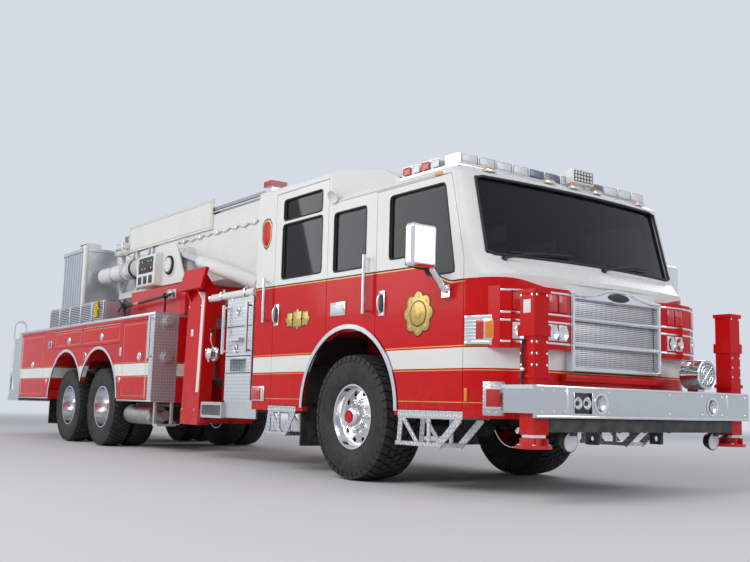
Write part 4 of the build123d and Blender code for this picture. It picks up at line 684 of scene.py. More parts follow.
def corners(outline, reach, steps):
    """Each sharp corner of an outline, with the points that round it off."""
    for i, q in enumerate(outline):
        p, q, r = (Vector(v) for v in (outline[i - 1], q, outline[(i + 1) % len(outline)]))
        cut = min(reach, (p - q).length * 0.3, (r - q).length * 0.3)
        start, end = q + (p - q).normalized() * cut, q + (r - q).normalized() * cut
        shares = [k / steps for k in range(steps + 1)]
        yield q, [start * (1 - t) ** 2 + q * 2 * t * (1 - t) + end * t * t for t in shares]


def windows(side):
    """Rubber seals, with black corners that round off each window's square opening."""
    for body, outlines in WINDOWS.items():
        piece = Piece(f"{body}_window_seals", body, "interior_black", side)
        for outline in outlines:
            path = [v for _, points in corners(outline, 45, 4) for v in points]
            for y, r in ((CAB_Y - 3, 8.5), (1216.5, 12)):
                piece.tube("rubber", [(v.x, y, v.y) for v in path + path[:2]], r)
            for q, points in corners(outline, 60, 5):
                piece.prism("rubber", [q, *points], "y", 1216.5, 1221.5, 0)
        piece.done()


def petal_disc(piece, look, x, z, radius, petals, depth, inner):
    """Disc with a scalloped edge, standing on a side wall."""
    points = []
    for i, (c, d) in enumerate(circle(petals * 8)):
        r = radius * (inner + (1 - inner) * abs(math.cos(math.pi * i / 8)))
        points.append((x + r * c, z + r * d))
    piece.prism(look, points, "y", CAB_Y - 0.2, CAB_Y - 0.2 + depth, 1.5)


def cab_ornaments(side):
    """Plain gilded ornaments where the vehicle carries its badges."""
    y = CAB_Y - 0.2
    piece = Piece("front_door_ornament", "front_door", side=side)
    for row in (("black", 990, 1395, 190, 8, 2, 0.84), ("gold", 990, 1395, 180, 8, 4, 0.82),
                ("black", 990, 1395, 108, 8, 5.2, 0.98), ("gold", 990, 1395, 98, 8, 6.6, 0.98),
                ("gold", 990, 1395, 52, 5, 10, 0.55)):
        petal_disc(piece, *row)
    for c, d in circle(8):
        spot = 990 + 142 * c, 1395 + 142 * d
        piece.rod("gold", (spot[0], y, spot[1]), (spot[0], y + 8, spot[1]), 14, 12)
    piece.done()
    piece = Piece("crew_door_ornament", "crew_door", side=side)
    for x, radius, petals in ((-990, 85, 6), (-850, 110, 8), (-710, 85, 6)):
        petal_disc(piece, "black", x, 1455, radius, petals, 2, 0.72)
        petal_disc(piece, "gold", x, 1455, radius - 10, petals, 4, 0.68)
        petal_disc(piece, "gold", x, 1455, radius * 0.45, 5, 6, 0.60)
    piece.done()
    piece = Piece("cab_rear_shield", side=side)
    half = [(0, 165), (60, 155), (100, 100), (95, -60), (50, -135), (0, -165)]
    outline = half + [(-p, q) for p, q in half[-2:0:-1]]
    for look, grow, depth in (("black", 1.0, 2), ("gold", 0.92, 3.2), ("red", 0.78, 4.6)):
        piece.prism(look, [(p * grow - 1500, q * grow + 2370) for p, q in outline], "y", y, y + depth, 0.6)
    piece.done()


def pull_handle(name, side, x, z):
    """Upright pull handle in a polished dish on a door."""
    piece = Piece(name, "_".join(name.split("_")[:2]), side=side)
    y, z1 = CAB_Y, z + 216
    piece.boxes(("polished", x - 45, x + 45, y, y + 10, z, z1, 6),
                ("black", x - 28, x + 28, y + 2, y + 12.5, z + 30, z1 - 30, 6))
    piece.bent("polished", [(x, y + 6, z + 30), (x, y + 38, z + 50), (x, y + 46, (z + z1) / 2),
                            (x, y + 38, z1 - 50), (x, y + 6, z1 - 30)], 11, 12)
    piece.rod("polished", (x + 20, y, z + 14), (x + 20, y + 16, z + 14), 9, 12)
    piece.done()


def cab_lamps(side):
    """Small lamps and pull handles on the cab's side."""
    y = CAB_Y
    piece = Piece("cab_side_lamps", side=side)
    piece.boxes(("polished", -1670, -1420, y, y + 14, 665, 815, 8),
                ("lens_red", -1655, -1475, y + 8, y + 30, 680, 800, 10),
                ("lens_clear", -1468, -1435, y + 8, y + 24, 680, 800, 6),
                ("polished", 1175, 1290, y - 20, y + 12, 2490, 2520, 6),
                ("lens_amber", 1185, 1280, y - 10, y + 20, 2493, 2517, 8))
    piece.lathe("white", [(0, 30), (30, 45), (55, 60), (60, 58), (50, 45), (45, 0)], (-245, y, 2575),
                (0.15, 0.8, -0.45))
    piece.done()
    piece = Piece("crew_door_lamp", side=side)
    piece.boxes(("polished", -275, -35, y, y + 12, 1445, 1570, 10),
                ("lens_clear", -255, -55, y + 6, y + 22, 1465, 1550, 12))
    piece.done()
    pull_handle("front_door_signs", side, 500, 1404)
    pull_handle("crew_door_handle", side, -1240, 1410)


def corner_arc(offset, share0, share1, count):
    """Points along the cab's front corner arc, pushed outwards, from the side round to the front."""
    p, q, r = (Vector(v) for v in ((1.550, 1.237), (1.765, 1.130), (1.880, 0.880)))
    d = 2 * (p.x * (q.y - r.y) + q.x * (r.y - p.y) + r.x * (p.y - q.y))
    pp, qq, rr = p.length_squared, q.length_squared, r.length_squared
    centre = Vector(((pp * (q.y - r.y) + qq * (r.y - p.y) + rr * (p.y - q.y)) / d,
                     (pp * (r.x - q.x) + qq * (p.x - r.x) + rr * (q.x - p.x)) / d))
    radius = (p - centre).length + offset * MM
    a0, a1 = (math.atan2(v.y - centre.y, v.x - centre.x) for v in (p, r))
    out = []
    for i in range(count + 1):
        a = a0 + (a1 - a0) * (share0 + (share1 - share0) * i / count)
        out.append((centre + Vector((math.cos(a), math.sin(a))) * radius) / MM)
    return out


def front_corner(side):
    """Curved lamps, vents and plates on the cab's front corner, with a gilded ornament."""
    piece = Piece("front_corner_lamps", side=side)
    vents = [("brushed", 0.03, 0.20, z, z + 12, 10, 20, 2) for z in range(1162, 1318, 26)]
    for look, share0, share1, z0, z1, inner, outer, bevel in (
            ("polished", 0.02, 0.62, 1318, 1341, 0, 22, 3), ("polished", 0.02, 0.62, 1126, 1149, 0, 22, 3),
            *vents, ("lens_red", 0.20, 0.60, 1162, 1306, 12, 26, 3),
            ("polished", 0.315, 0.575, 1158, 1312, 20, 33, 3),
            ("lens_amber", 0.330, 0.560, 1170, 1300, 28, 40, 3),
            ("tread", 0.30, 0.60, 600, 850, 1, 6, 3), ("lens_red", 0.35, 0.55, 665, 795, 4, 22, 3),
            ("polished", 0.335, 0.565, 650, 810, 4, 12, 3), ("lens_amber", 0.02, 0.06, 700, 800, 1, 14, 3)):
        edge = corner_arc(outer, share0, share1, 10) + corner_arc(inner, share0, share1, 10)[::-1]
        piece.prism(look, edge, "z", z0, z1, bevel)
    piece.done()
    piece = Piece("front_corner_ornament", side=side)
    (x, y), away = corner_arc(0, 0.49, 0.51, 1)[0], corner_arc(100, 0.49, 0.51, 1)[0]
    bm = bmesh.new()
    for cx, cz, w, h in ((0, 0, 18, 75), (-30, -2, 13, 44), (30, -2, 13, 44), (0, -20, 46, 11)):
        ring, low = ([bm.verts.new(((cx + w * c) * MM, depth, (cz + h * d) * MM)) for c, d in circle(16)]
                     for depth in (0.004, -0.004))
        top = bm.verts.new((cx * MM, 0.010, cz * MM))
        for t in range(16):
            bm.faces.new((ring[t], ring[(t + 1) % 16], top))
        bridge(bm, low, ring)
    turn = facing((away.x - x, piece.s * (away.y - y), 0), "Y", "Z")
    piece.close(bm, "gold", Matrix.Translation(piece.at((x, y, 1490))) @ turn)
    piece.done()


def windscreen_x(y, z):
    """Outer face of the cab's front between the belt and the roof."""
    t = (z - 1790) / 710
    end_x, end_y, front_x = 1660 - 178 * t, 1150 + 10 * t, 1790 - 230 * t
    sagitta = front_x - end_x
    radius = (end_y ** 2 + sagitta ** 2) / (2 * sagitta)
    return front_x - radius + math.sqrt(radius ** 2 - y ** 2)


def on_screen(y, z, off):
    return windscreen_x(y, z) + off, y, z


def windscreen():
    """Seal, wipers and roof markers."""
    piece = Piece("windscreen_seal", slot="interior_black")
    frame_corners = [(-1120, 1825), (1120, 1825), (1105, 2465), (-1105, 2465)]
    path = []
    shares = [(k + 0.5) / 16 for k in range(16)]
    for (ya, za), (yb, zb) in zip(frame_corners, frame_corners[1:] + frame_corners[:1]):
        path += [on_screen(ya + (yb - ya) * t, za + (zb - za) * t, 1) for t in shares]
    piece.tube("rubber", path + path[:2], 12)
    piece.done()
    piece = Piece("wipers", slot="interior_black")
    for y in (-980, 60):
        x, _, z = pivot = on_screen(y, 1795, 20)
        piece.rod("black", (x - 50, y, z), (x + 12, y, z), 18)
        piece.bent("black", [pivot, on_screen(y + 160, 1835, 36), on_screen(y + 400, 1868, 26)], 7)
        piece.tube("rubber", [on_screen(y + 60 + 80 * k, 1850 + 4 * k, 12) for k in range(9)], 8, 6)
    piece.done()
    piece = Piece("roof_markers")
    for y in (-931, -300, 0, 300, 931):
        x = windscreen_x(y, 2500) - 28
        piece.boxes(("polished", x - 35, x + 28, y - 55, y + 55, 2520, 2540, 5),
                    ("lens_amber", x - 30, x + 24, y - 46, y + 46, 2535, 2556, 9))
    piece.done()


def front_face():
    """Grille mesh and frame, red beam and the front lamps' lenses."""
    piece = Piece("grille_mesh")
    piece.boxes(*(("mesh", 1938.5, 1942.5, -505, 505, z0, z1, 1)
                  for z0, z1 in ((984, 1134), (1166, 1334), (1366, 1510))))
    for z in (1146, 1350):
        piece.rod("polished", (1992, -515, z), (1992, 515, z), 13)
    for y in (-526, 526):
        piece.tube("polished", [(1988, y, 965), (1988, y, 1532)], 14, 12)
    piece.tube("polished", [(1988, -526, 960), (1988, 526, 960)], 14, 12)
    piece.bent("polished", [(1994, y, z) for y, z in (
        (-526, 1533), (-400, 1536), (-250, 1556), (-140, 1588), (0, 1596), (140, 1588), (250, 1556),
        (400, 1536), (526, 1533))], 14, 12, 4)
    for look, a, b, x in (("polished", 150, 46, 1996), ("black", 132, 34, 1998.5)):
        piece.prism(look, [(a * c, 1548 + b * d) for c, d in circle(36)], "x", 1975, x, 1)
    piece.done()
    piece = Piece("lower_red_beam", slot="red_paint")
    piece.box("red", 1930, 1990, -600, 600, 868, 925, 12)
    piece.done()
    front = ((1985, 553), (2000, 600), (2000, 820), (1975, 960), (1905, 1110), (1850, 1165))
    for side in SIDES:
        piece = Piece("front_lamp_lenses", side=side)
        for k, a, b in ((1, 0.06, 0.47), (1, 0.55, 0.96), (3, 0.10, 0.90)):
            (xa, ya), (xb, yb) = front[k:k + 2]
            length = math.hypot(xb - xa, yb - ya)
            nx, ny = (yb - ya) / length, (xa - xb) / length
            edge = [(xa + (xb - xa) * share + nx * depth, ya + (yb - ya) * share + ny * depth)
                    for share, depth in ((a, -24), (a, 10), (b, 10), (b, -24), ((a + b) / 2, 8))]
            piece.prism("lens_clear", edge[:4], "z", 1163, 1287, 7)
            piece.prism("lens_red", edge[:4], "z", 1378, 1512, 7)
            piece.lathe("polished", [(0, 50), (4, 54), (8, 50), (3, 28), (0, 0)], (*edge[4], 1225),
                        (nx, ny, 0), 24)
        outline = [(x + 4, y) for x, y in front] + [(x - 16, y - 12) for x, y in reversed(front)]
        for z in (1145, 1302, 1360, 1525):
            piece.prism("polished", outline, "z", z - 8, z + 8)
        piece.done()


def bumper_gear():
    """Bumper with its pressings and lamps, the gear below it and the siren drum's trim."""
    shell = Piece("bumper_shell")
    bm = bmesh.new()
    bm.from_mesh(nodes["bumper"].data)
    for vertex in bm.verts:
        if vertex.co.x > X(2324.5):
            vertex.co.x -= 5 * MM
    shell.take(bm, "bumper")
    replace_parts(shell.done(30), "bumper")
    piece = Piece("bumper_face_trim")
    face, floor = 2325, 2299
    piece.boxes(*(("polished", 2300, 2324.9, -1268, 1268, z, z + 19.5, 7) for z in (598.5, 804)),
                *(("polished", 2310, 2323.5, y - 12, y + 12, 616, 806, 5) for y in (-960, 960)),
                ("black", floor, floor + 6, -898, -697, 632, 778, 2),
                *(("polished", floor + 4, floor + 25.5, y, y + 9, 631, 779, 3) for y in (-899, -705)))
    for y in (-1215, -1100, -985, -520, 200, 620, 890, 1215):
        for z in (640, 785):
            piece.lathe("polished", [(-12, 13), (-4, 13), (-0.3, 8), (-0.1, 0)], (face, y, z), FORWARD, 14)
    for look, ys, segments, profile in (
            ("polished", (-603, 755), 36, [(1, 65), (24.5, 78), (25.9, 70), (24.5, 60), (12, 50), (4, 0)]),
            ("clear", (-603, 755), 36, [(12, 58), (21, 48), (24.5, 22), (25, 0), (18, 0), (12, 40)]),
            ("polished", (-845, -752), 24, [(4, 42), (20, 44), (24.5, 38), (10, 26), (8, 0)]),
            ("black", (-845, -752), 20, [(8, 20), (16, 16), (16, 0)])):
        for y in ys:
            piece.lathe(look, profile, (floor, y, 705), FORWARD, segments)
    piece.done()
    piece = Piece("under_bumper_gear", slot="frame_black")
    piece.box("black", 2200, 2260, -1040, 1040, 530, 596, 6)
    for y in (-761, 984):
        piece.box("black", 2130, 2210, y - 20, y + 20, 470, 535, 4)
        at, axis = (2150, y, 430), (1, 0, -0.1)
        piece.lathe("black", [(-55, 30), (-45, 55), (0, 75), (20, 78), (24, 74)], at, axis)
        piece.lathe("lens_clear", [(10, 74), (24, 70), (30, 0)], at, axis)
    for y in (-300, 0, 300):
        piece.bent("black", [(2230, y - 50, 530), (2235, y, 500), (2230, y + 50, 530)], 8)
    piece.done()
    piece = Piece("horn_trim")
    x, y, z = at = (2290, 740, 964)
    for r in (116, 80, 52):
        piece.lathe("polished", [(-12, r + 6), (-2, r + 4), (0, r), (-2, r - 4), (-12, r - 6)], at,
                    FORWARD, 36)
    for c, d in circle(16)[:8]:
        piece.tube("polished", [(x - 8, y - 112 * c, z - 112 * d), (x - 4, y + 112 * c, z + 112 * d)], 3.5, 6)
    piece.done()


for side in SIDES:
    windows(side)
    cab_ornaments(side)
    cab_lamps(side)
    front_corner(side)
windscreen()
front_face()
bumper_gear()


# Cab fittings and seats

def door_linings(side):
    """Lining, kick plate, catch and pull strap on the inner face of each cab door."""
    y = 1187
    for door, x0, x1, kick0, kick1 in (("front_door", 460, 1460, 880, 1460),
                                       ("crew_door", -1260, -410, -1260, -860)):
        piece = Piece(f"{door}_lining", door, "interior_grey", side)
        catch = x0 + 160
        piece.boxes(("interior", x0, x1, y + 1, y - 6, 1335, 1640, 4),
                    ("brushed", kick0, kick1, y + 1, y - 3, 720, 1300, 1),
                    ("polished", catch - 50, catch + 50, y - 5, y - 10, 1540, 1600, 2))
        piece.bent("rubber", [(catch + dx, y - dy, z) for dx, dy, z in (
            (160, 4, 1490), (190, 22, 1492), (330, 26, 1498), (470, 22, 1492), (500, 4, 1490))], 10, 10)
        piece.done()


def cab_fittings(side):
    """Drip rails, mirror glass, jack column plates and bolts."""
    piece = Piece("drip_rails", side=side)
    for x0, x1, z in ((-1290, -356, 2755), (-280, 1180, 2507)):
        piece.rod("white", (x0, 1238, z), (x1, 1238, z), 9, 10)
    piece.done()
    piece = Piece("mirror_trim", "front_door", side=side)
    piece.boxes(("black", 1284, 1291.5, 1405, 1619, 1716, 2026, 6),
                ("polished", 1280.5, 1286, 1417, 1607, 1850, 2012, 3),
                ("polished", 1280.5, 1286, 1417, 1607, 1730, 1836, 3))
    piece.tube("black", [(1345, 1412, 1702), (1345, 1512, 1694), (1345, 1602, 1702)], 8)
    piece.done()
    piece = Piece("jack_column_trim", side=side)
    y, front = 1240.2, 2270.2
    piece.box("white", 2165, 2235, y, y + 2, 1325, 1420, 0.8)
    for z in (960, 1040, 1120, 1450):
        piece.bolts([(2148, y, z), (2252, y, z)])
        piece.bolts([(front, 1118, z), (front, 1222, z)], axis=FORWARD)
    piece.bent("rubber", [(2175, y + 12, 1155), (2172, y + 20, 1020), (2180, y + 16, 930),
                          (2172, y + 22, 860), (2178, y + 12, 660)], 9)
    for z in (1150, 930, 665):
        piece.box("polished", 2158, 2196, y - 2, y + 28, z - 11, z + 11, 3)
    piece.done()
    piece = Piece("jack_foot_bolts", "jack_leg", side=side)
    piece.bolts([(2200 + 102 * c, 1170 + 102 * d, 410) for c, d in circle(4, math.pi / 4)], 12, axis=UP)
    piece.done()


def light_bar_trim():
    """Lens faces of the light bar and the flood lamp's window."""
    piece = Piece("light_bar_lenses")
    front, width = 1375.2, 2300 / 12
    for i in range(12):
        y = -1150 + i * width
        look = "lens_blue" if i in (4, 5, 8) else "lens_clear"
        piece.boxes((look, front - 4, front + 5, y + 14, y + width - 14, 2594, 2662, 4),
                    ("brushed", front - 4, front + 8, y - 4, y + 4, 2585, 2672, 2))
    piece.box("brushed", front - 3, front + 7, -1155, 1155, 2583, 2590, 2)
    for piece.s in (-1, 1):
        for k in range(4):
            x = 660 + k * 125
            piece.box(("lens_red", "lens_clear")[k % 2], x, x + 100, 1165, 1170, 2594, 2662, 3)
    face = 1475.2
    piece.box("black", face - 2, face + 2, 72, 308, 2617, 2713, 1.2)
    for z in (2634, 2665, 2696):
        for i in range(6):
            piece.lathe("lens_clear", [(0, 14), (3, 13), (5, 0)], (face + 1.5, 95 + i * 38, z), FORWARD, 12)
    piece.done()


def cushion(name, centre, size, power, lean=0):
    """Crowned closed cushion with a piped seam round its edge."""
    piece = Piece(name, slot="seat_fabric")
    bm = bmesh.new()
    rows, columns = 20, 40
    sx, sy, sz = (v / 2 * MM for v in size)

    def curve(v, e):
        return math.copysign(abs(v) ** e, v)

    plan = [(curve(c, 0.30), curve(d, 0.30)) for c, d in circle(columns)]
    rings = []
    for i in range(1, rows):
        phi = -math.pi / 2 + math.pi * i / rows
        flat, z = curve(math.cos(phi), power), sz * curve(math.sin(phi), 0.75)
        rings.append([bm.verts.new((sx * flat * c, sy * flat * d, z)) for c, d in plan])
    for a, b in zip(rings, rings[1:]):
        bridge(bm, a, b)
    for z, ring in ((-sz, rings[0][::-1]), (sz, rings[-1])):
        pole = bm.verts.new((0, 0, z))
        for j in range(columns):
            bm.faces.new((pole, ring[j - 1], ring[j]))
    turn = Matrix.Translation(piece.at(centre)) @ Matrix.Rotation(lean, 4, "Y")
    piece.take(bm, "fabric", turn)
    seam = [turn @ Vector((sx * 0.998 * c, sy * 0.998 * d, 0)) for c, d in plan + plan[:2]]
    piece.pipe("rubber", seam, 5, 6)
    piece.done(60)


SEATS = [(330, y, 1320, 50) for y in (-830, 830)] + [(-1480, y, 1000, 300) for y in (-900, -330, 330, 900)]


def cab_inside():
    """Seats with pads and belts, floor mats, gauges and switches."""
    stands = Piece("seat_stands", slot="interior_black")
    lean = math.atan2(-0.09, 0.61)
    for i, (x, y, floor, base) in enumerate(SEATS):
        z = floor + base
        place = Matrix.Translation(stands.at((x + 10, y, z + 425))) @ Matrix.Rotation(lean, 4, "Y")
        stands.boxes(("plastic", x + 80, x + 380, y - 180, y + 180, floor, z, 12),
                     ("plastic", x + 10, x + 470, y - 232, y + 232, z, z + 34, 10),
                     ("plastic", -42, -16, -215, 215, -300, 300, 10, 2, place))
        for dy in (-60, 60):
            stands.rod("polished", (x - 14, y + dy, z + 675), (x - 26, y + dy, z + 720), 6, 8)
        stands.bent("belt", [(x + 62, y - 160, z + 700), (x + 85, y - 50, z + 450),
                             (x + 118, y + 100, z + 220), (x + 170, y + 190, z + 135)], 10, 6)
        cushion(f"seat_cushion_{i}", (x + 240, y, z + 76), (468, 468, 86), 0.34)
        cushion(f"seat_back_{i}", (x + 30, y, z + 425), (78, 440, 590), 0.40, lean)
    obj = stands.done()
    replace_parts(obj, "cab_seats")
    piece = Piece("dash_instruments", slot="interior_black")
    axis = (-math.cos(0.30), 0, math.sin(0.30))
    for dy, r in ((-160, 45), (-50, 55), (70, 55), (180, 45)):
        at = (1239.5, 780 + dy, 1665)
        piece.lathe("polished", [(-6, r + 6), (4, r + 6), (4, r)], at, axis, 24)
        piece.lathe("plastic", [(1, r), (2, 0)], at, axis, 24)
        # The needles lie flat at the row frame's origin, out of sight.
        piece.box("white", -AXLE_X - 1.2, -AXLE_X + 1.2, dy - 1, dy + 1, 0, 0, 0)
    for i in range(14):
        y = -550 + 75 * i
        piece.boxes(("plastic", 1228, 1246, y, y + 50, 1615, 1665, 4),
                    ("white" if i % 3 else "red", 1225.5, 1229, y + 12, y + 38, 1628, 1650, 1))
    piece.done()
    mats = Piece("cab_floor_mats", slot="interior_grey")
    mats.boxes(*(("rubber", x0, x1, y0, y1, 1000, 1006, 2) for x0, x1, y0, y1 in (
        (860, 1180, -1140, -460), (860, 1180, 460, 1140), (-980, -620, -1100, 1100))))
    mats.done()


# Body

BODY_Y = 1263.2
LATCHES = {"rear_locker": (-9040, 1164), "aft_top_locker": (-7315, 1495), "fore_top_locker": (-5965, 1500),
           "front_locker": (-4600, 1194)}


def ring_latch(piece, x, y, z):
    """Folding ring handle in a round dish."""
    piece.lathe("polished", [(-3, 56), (3, 56), (7, 50), (2, 40), (1, 0)], (x, y, z))
    ring = [(x + 30 * d, y + 11, z - 2 + 36 * c) for c, d in circle(14)]
    piece.tube("polished", ring + ring[:2], 6.5)
    piece.lathe("polished", [(0, 11), (12, 10), (14, 0)], (x, y, z + 34), segments=12)


def round_lamp(piece, look, at, r):
    piece.lathe("polished", [(-3, r + 14), (6, r + 12), (10, r + 3), (4, r)], at)
    piece.lathe(look, [(2, r), (14, r * 0.86), (20, r * 0.45), (21, 0)], at)


def body_trim(side):
    """Latches and hinges of the locker doors, edge rails, side lamps and the slatted stowage fence."""
    y = BODY_Y
    for name, (x0, x1, z0, z1) in BODY_DOORS.items():
        piece = Piece(f"{name}_trim", f"{name}_door", side=side)
        ring_latch(piece, LATCHES[name][0], y, LATCHES[name][1])
        a, b = {"rear_locker": ((x0 + 12, z0 + 20), (x0 + 12, z1 - 20)),
                "front_locker": ((x1 - 12, z0 + 20), (x1 - 12, z1 - 20))}.get(
                    name, ((x0 + 20, z1 - 12), (x1 - 20, z1 - 12)))
        piece.rod("polished", (a[0], y, a[1]), (b[0], y, b[1]), 6, 8)
        piece.done()
    piece = Piece("body_side_trim", side=side)
    piece.boxes(*(("brushed", x0, x1, y - 2, y + 10, z0, z1, 4) for x0, x1, z0, z1 in (
                    (-9725, -8165, 622, 641), (-5285, -4165, 622, 641), (-9725, -4155, 1700, 1735),
                    (-4185, -4152, 650, 1690))),
                ("polished", -8260, -8100, y - 2, y + 16, 1410, 1520, 8),
                ("lens_blue", -8245, -8115, y, y + 26, 1424, 1506, 10),
                ("polished", -5262, -5202, y, y + 10, 1210, 1330, 4))
    round_lamp(piece, "lens_red", (-6590, y, 1249), 42)
    for x in (-8300, -5235):
        round_lamp(piece, "lens_amber", (x, y, 900), 22)
    piece.done()
    piece = Piece("fence_slats", side=side)
    y, pitch = 1198.2, 474
    for x0 in range(-8500, -6130, pitch):
        x1 = x0 + pitch
        piece.box("black", x0 + 30, x1 - 30, y - 1, y + 0.8, 1775, 2010, 0)
        for z in (1778 + k * 26.2 for k in range(9)):
            piece.box("brushed", x0 + 26, x1 - 26, y - 1, y + 7, z, z + 13.5, 2, 1)
        for x in (x0 + 12, x1 - 12):
            piece.box("brushed", x - 10, x + 10, y - 1, y + 9, 1745, 2036, 3)
    piece.done()


def top_tools():
    """Pole, bracket and hose tool along the right edge of the body top, and the housing's spot lamps."""
    piece = Piece("stowed_tools", slot="frame_black", s=-1)
    piece.rod("black", (-5900, 1020, 1925), (-4300, 1020, 1985), 19)
    piece.rod("gold", (-5460, 1020, 1941.5), (-5300, 1020, 1947.5), 23)
    piece.bent("black", [(-4310, 1020, 1985), (-4220, 1020, 1995), (-4170, 1022, 1950)], 12, 10)
    for x, z in ((-5800, 1929), (-4450, 1979)):
        piece.boxes(("black", x - 30, x + 30, 990, 1050, 1739.3, 1752, 3),
                    ("black", x - 12, x + 12, 1008, 1032, 1745, z - 10, 3))
        ring = [(x, 1020 - 30 * c, z + 30 * d) for c, d in circle(14)]
        piece.tube("black", ring + ring[:2], 9)
    for dx in (-100, 100):
        piece.rod("black", (-5800 - dx, 1075, 1860), (-5800 + dx, 1062, 2020), 11, 10)
    piece.done()
    piece = Piece("hose_clamp_tool", slot="frame_black", s=-1)
    piece.boxes(("yellow", -6440, -6330, 1206, 1234, 1800, 1840, 10),
                ("yellow", -6440, -6330, 1206, 1234, 2010, 2035, 8))
    for x in (-6425, -6345):
        piece.rod("yellow", (x, 1220, 1815), (x, 1220, 2025), 12, 12)
    piece.lathe("yellow", [(-12, 30), (12, 34), (20, 26), (20, 0)], (-6385, 1220, 1920), segments=20)
    piece.bent("yellow", [(-6385, 1236, 1925), (-6300, 1238, 1955), (-6245, 1230, 1905)], 9)
    piece.rod("polished", (-6385, 1220, 1850), (-6385, 1220, 2000), 7, 10)
    piece.done()
    for side in SIDES:
        piece = Piece("housing_spot_lamp", slot="white_paint", side=side)
        y = 900.2
        at, axis = (-4440, y, 2015), (0.25, 1, -0.10)
        piece.box("white", -4500, -4380, y, y + 12, 1955, 2075, 6)
        piece.lathe("white", [(8, 30), (50, 56), (85, 62), (90, 58), (70, 45), (60, 0)], at, axis)
        piece.lathe("lens_clear", [(70, 50), (78, 30), (80, 0)], at, axis, 24)
        piece.done()


def tower_trim(side):
    """Latches, strips and lamps of the step tower, hose outlet and pedestal plates."""
    y = 1150.2
    piece = Piece("tower_trim", side=side)
    ring_latch(piece, -2195, y, 1625)
    ring_latch(piece, -2215, y, 1215)
    piece.boxes(*(("black", -2445, -1895, y - 1, y + 4, z, z + 10, 1) for z in (1455, 1135, 955)),
                ("brushed", -2335, -2005, y, y + 12, 1108, 1118, 3),
                *(("tread", x, x + 110, 1190.5, 1000, 640.5, 644.5, 1) for x in (-2890, -2735, -2580)),
                *(("polished", x - 22, x + 22, 1066, 1174, 1768, 1872, 16) for x in (-2620, -2080)))
    for x in (-2620, -2080):
        piece.rod("polished", (x, 1120, 1868), (x, 1120, 1900), 10, 10)
    piece.lathe("polished", [(-4, 43), (10, 50), (34, 50), (40, 30), (42, 0)], (-2880, 1120, 1820), BACK, 24)
    piece.done()
    piece = Piece("hose_outlet", side=side)
    x, y, z = at = (-2790, 1130, 1180)
    piece.lathe("polished", [(-24, 83), (-4, 83), (2, 78), (6, 60), (40, 58), (48, 66), (70, 66),
                             (78, 58), (86, 30), (88, 0)], at, segments=36)
    for c, d in circle(3, 0.5):
        piece.rod("polished", (x + 55 * c, y + 59, z + 55 * d), (x + 94 * c, y + 59, z + 94 * d), 11, 10)
    end = (x + 30, y + 50, z + 250)
    piece.bent("polished", [(x, y + 10, z + 70), (x + 20, y + 50, z + 160), end], 9, 10)
    piece.lathe("black", [(-20, 12), (0, 22), (30, 22), (40, 0)], end, (0.1, 0, 1), 16)
    piece.done()
    piece = Piece("pedestal_plates", side=side)
    piece.bolts([(x, 700, z) for x in (-2900, -2520) for z in (1050, 1620)], 13, top=10)
    piece.box("polished", -2930, -2830, 700.2, 704, 1420, 1500, 1)
    piece.done()


def leg_trim(side):
    """Pivot cap bolts and a blank plate on the stabiliser leg, whose outer face leans in."""
    def face(z):
        return 1190 - 40 * (z - 380) / 1580

    piece = Piece("stabiliser_trim", "outrigger", side=side)
    piece.bolts([(x, face(z), z) for x in (-3410, -3100) for z in (550, 1750)], 14, -3, 9, (0, 1, 0.02))
    y = face(1450)
    piece.box("white", -3330, -3270, y - 2, y + 3.5, 1400, 1480, 1)
    piece.done()


# Boom, basket and tail

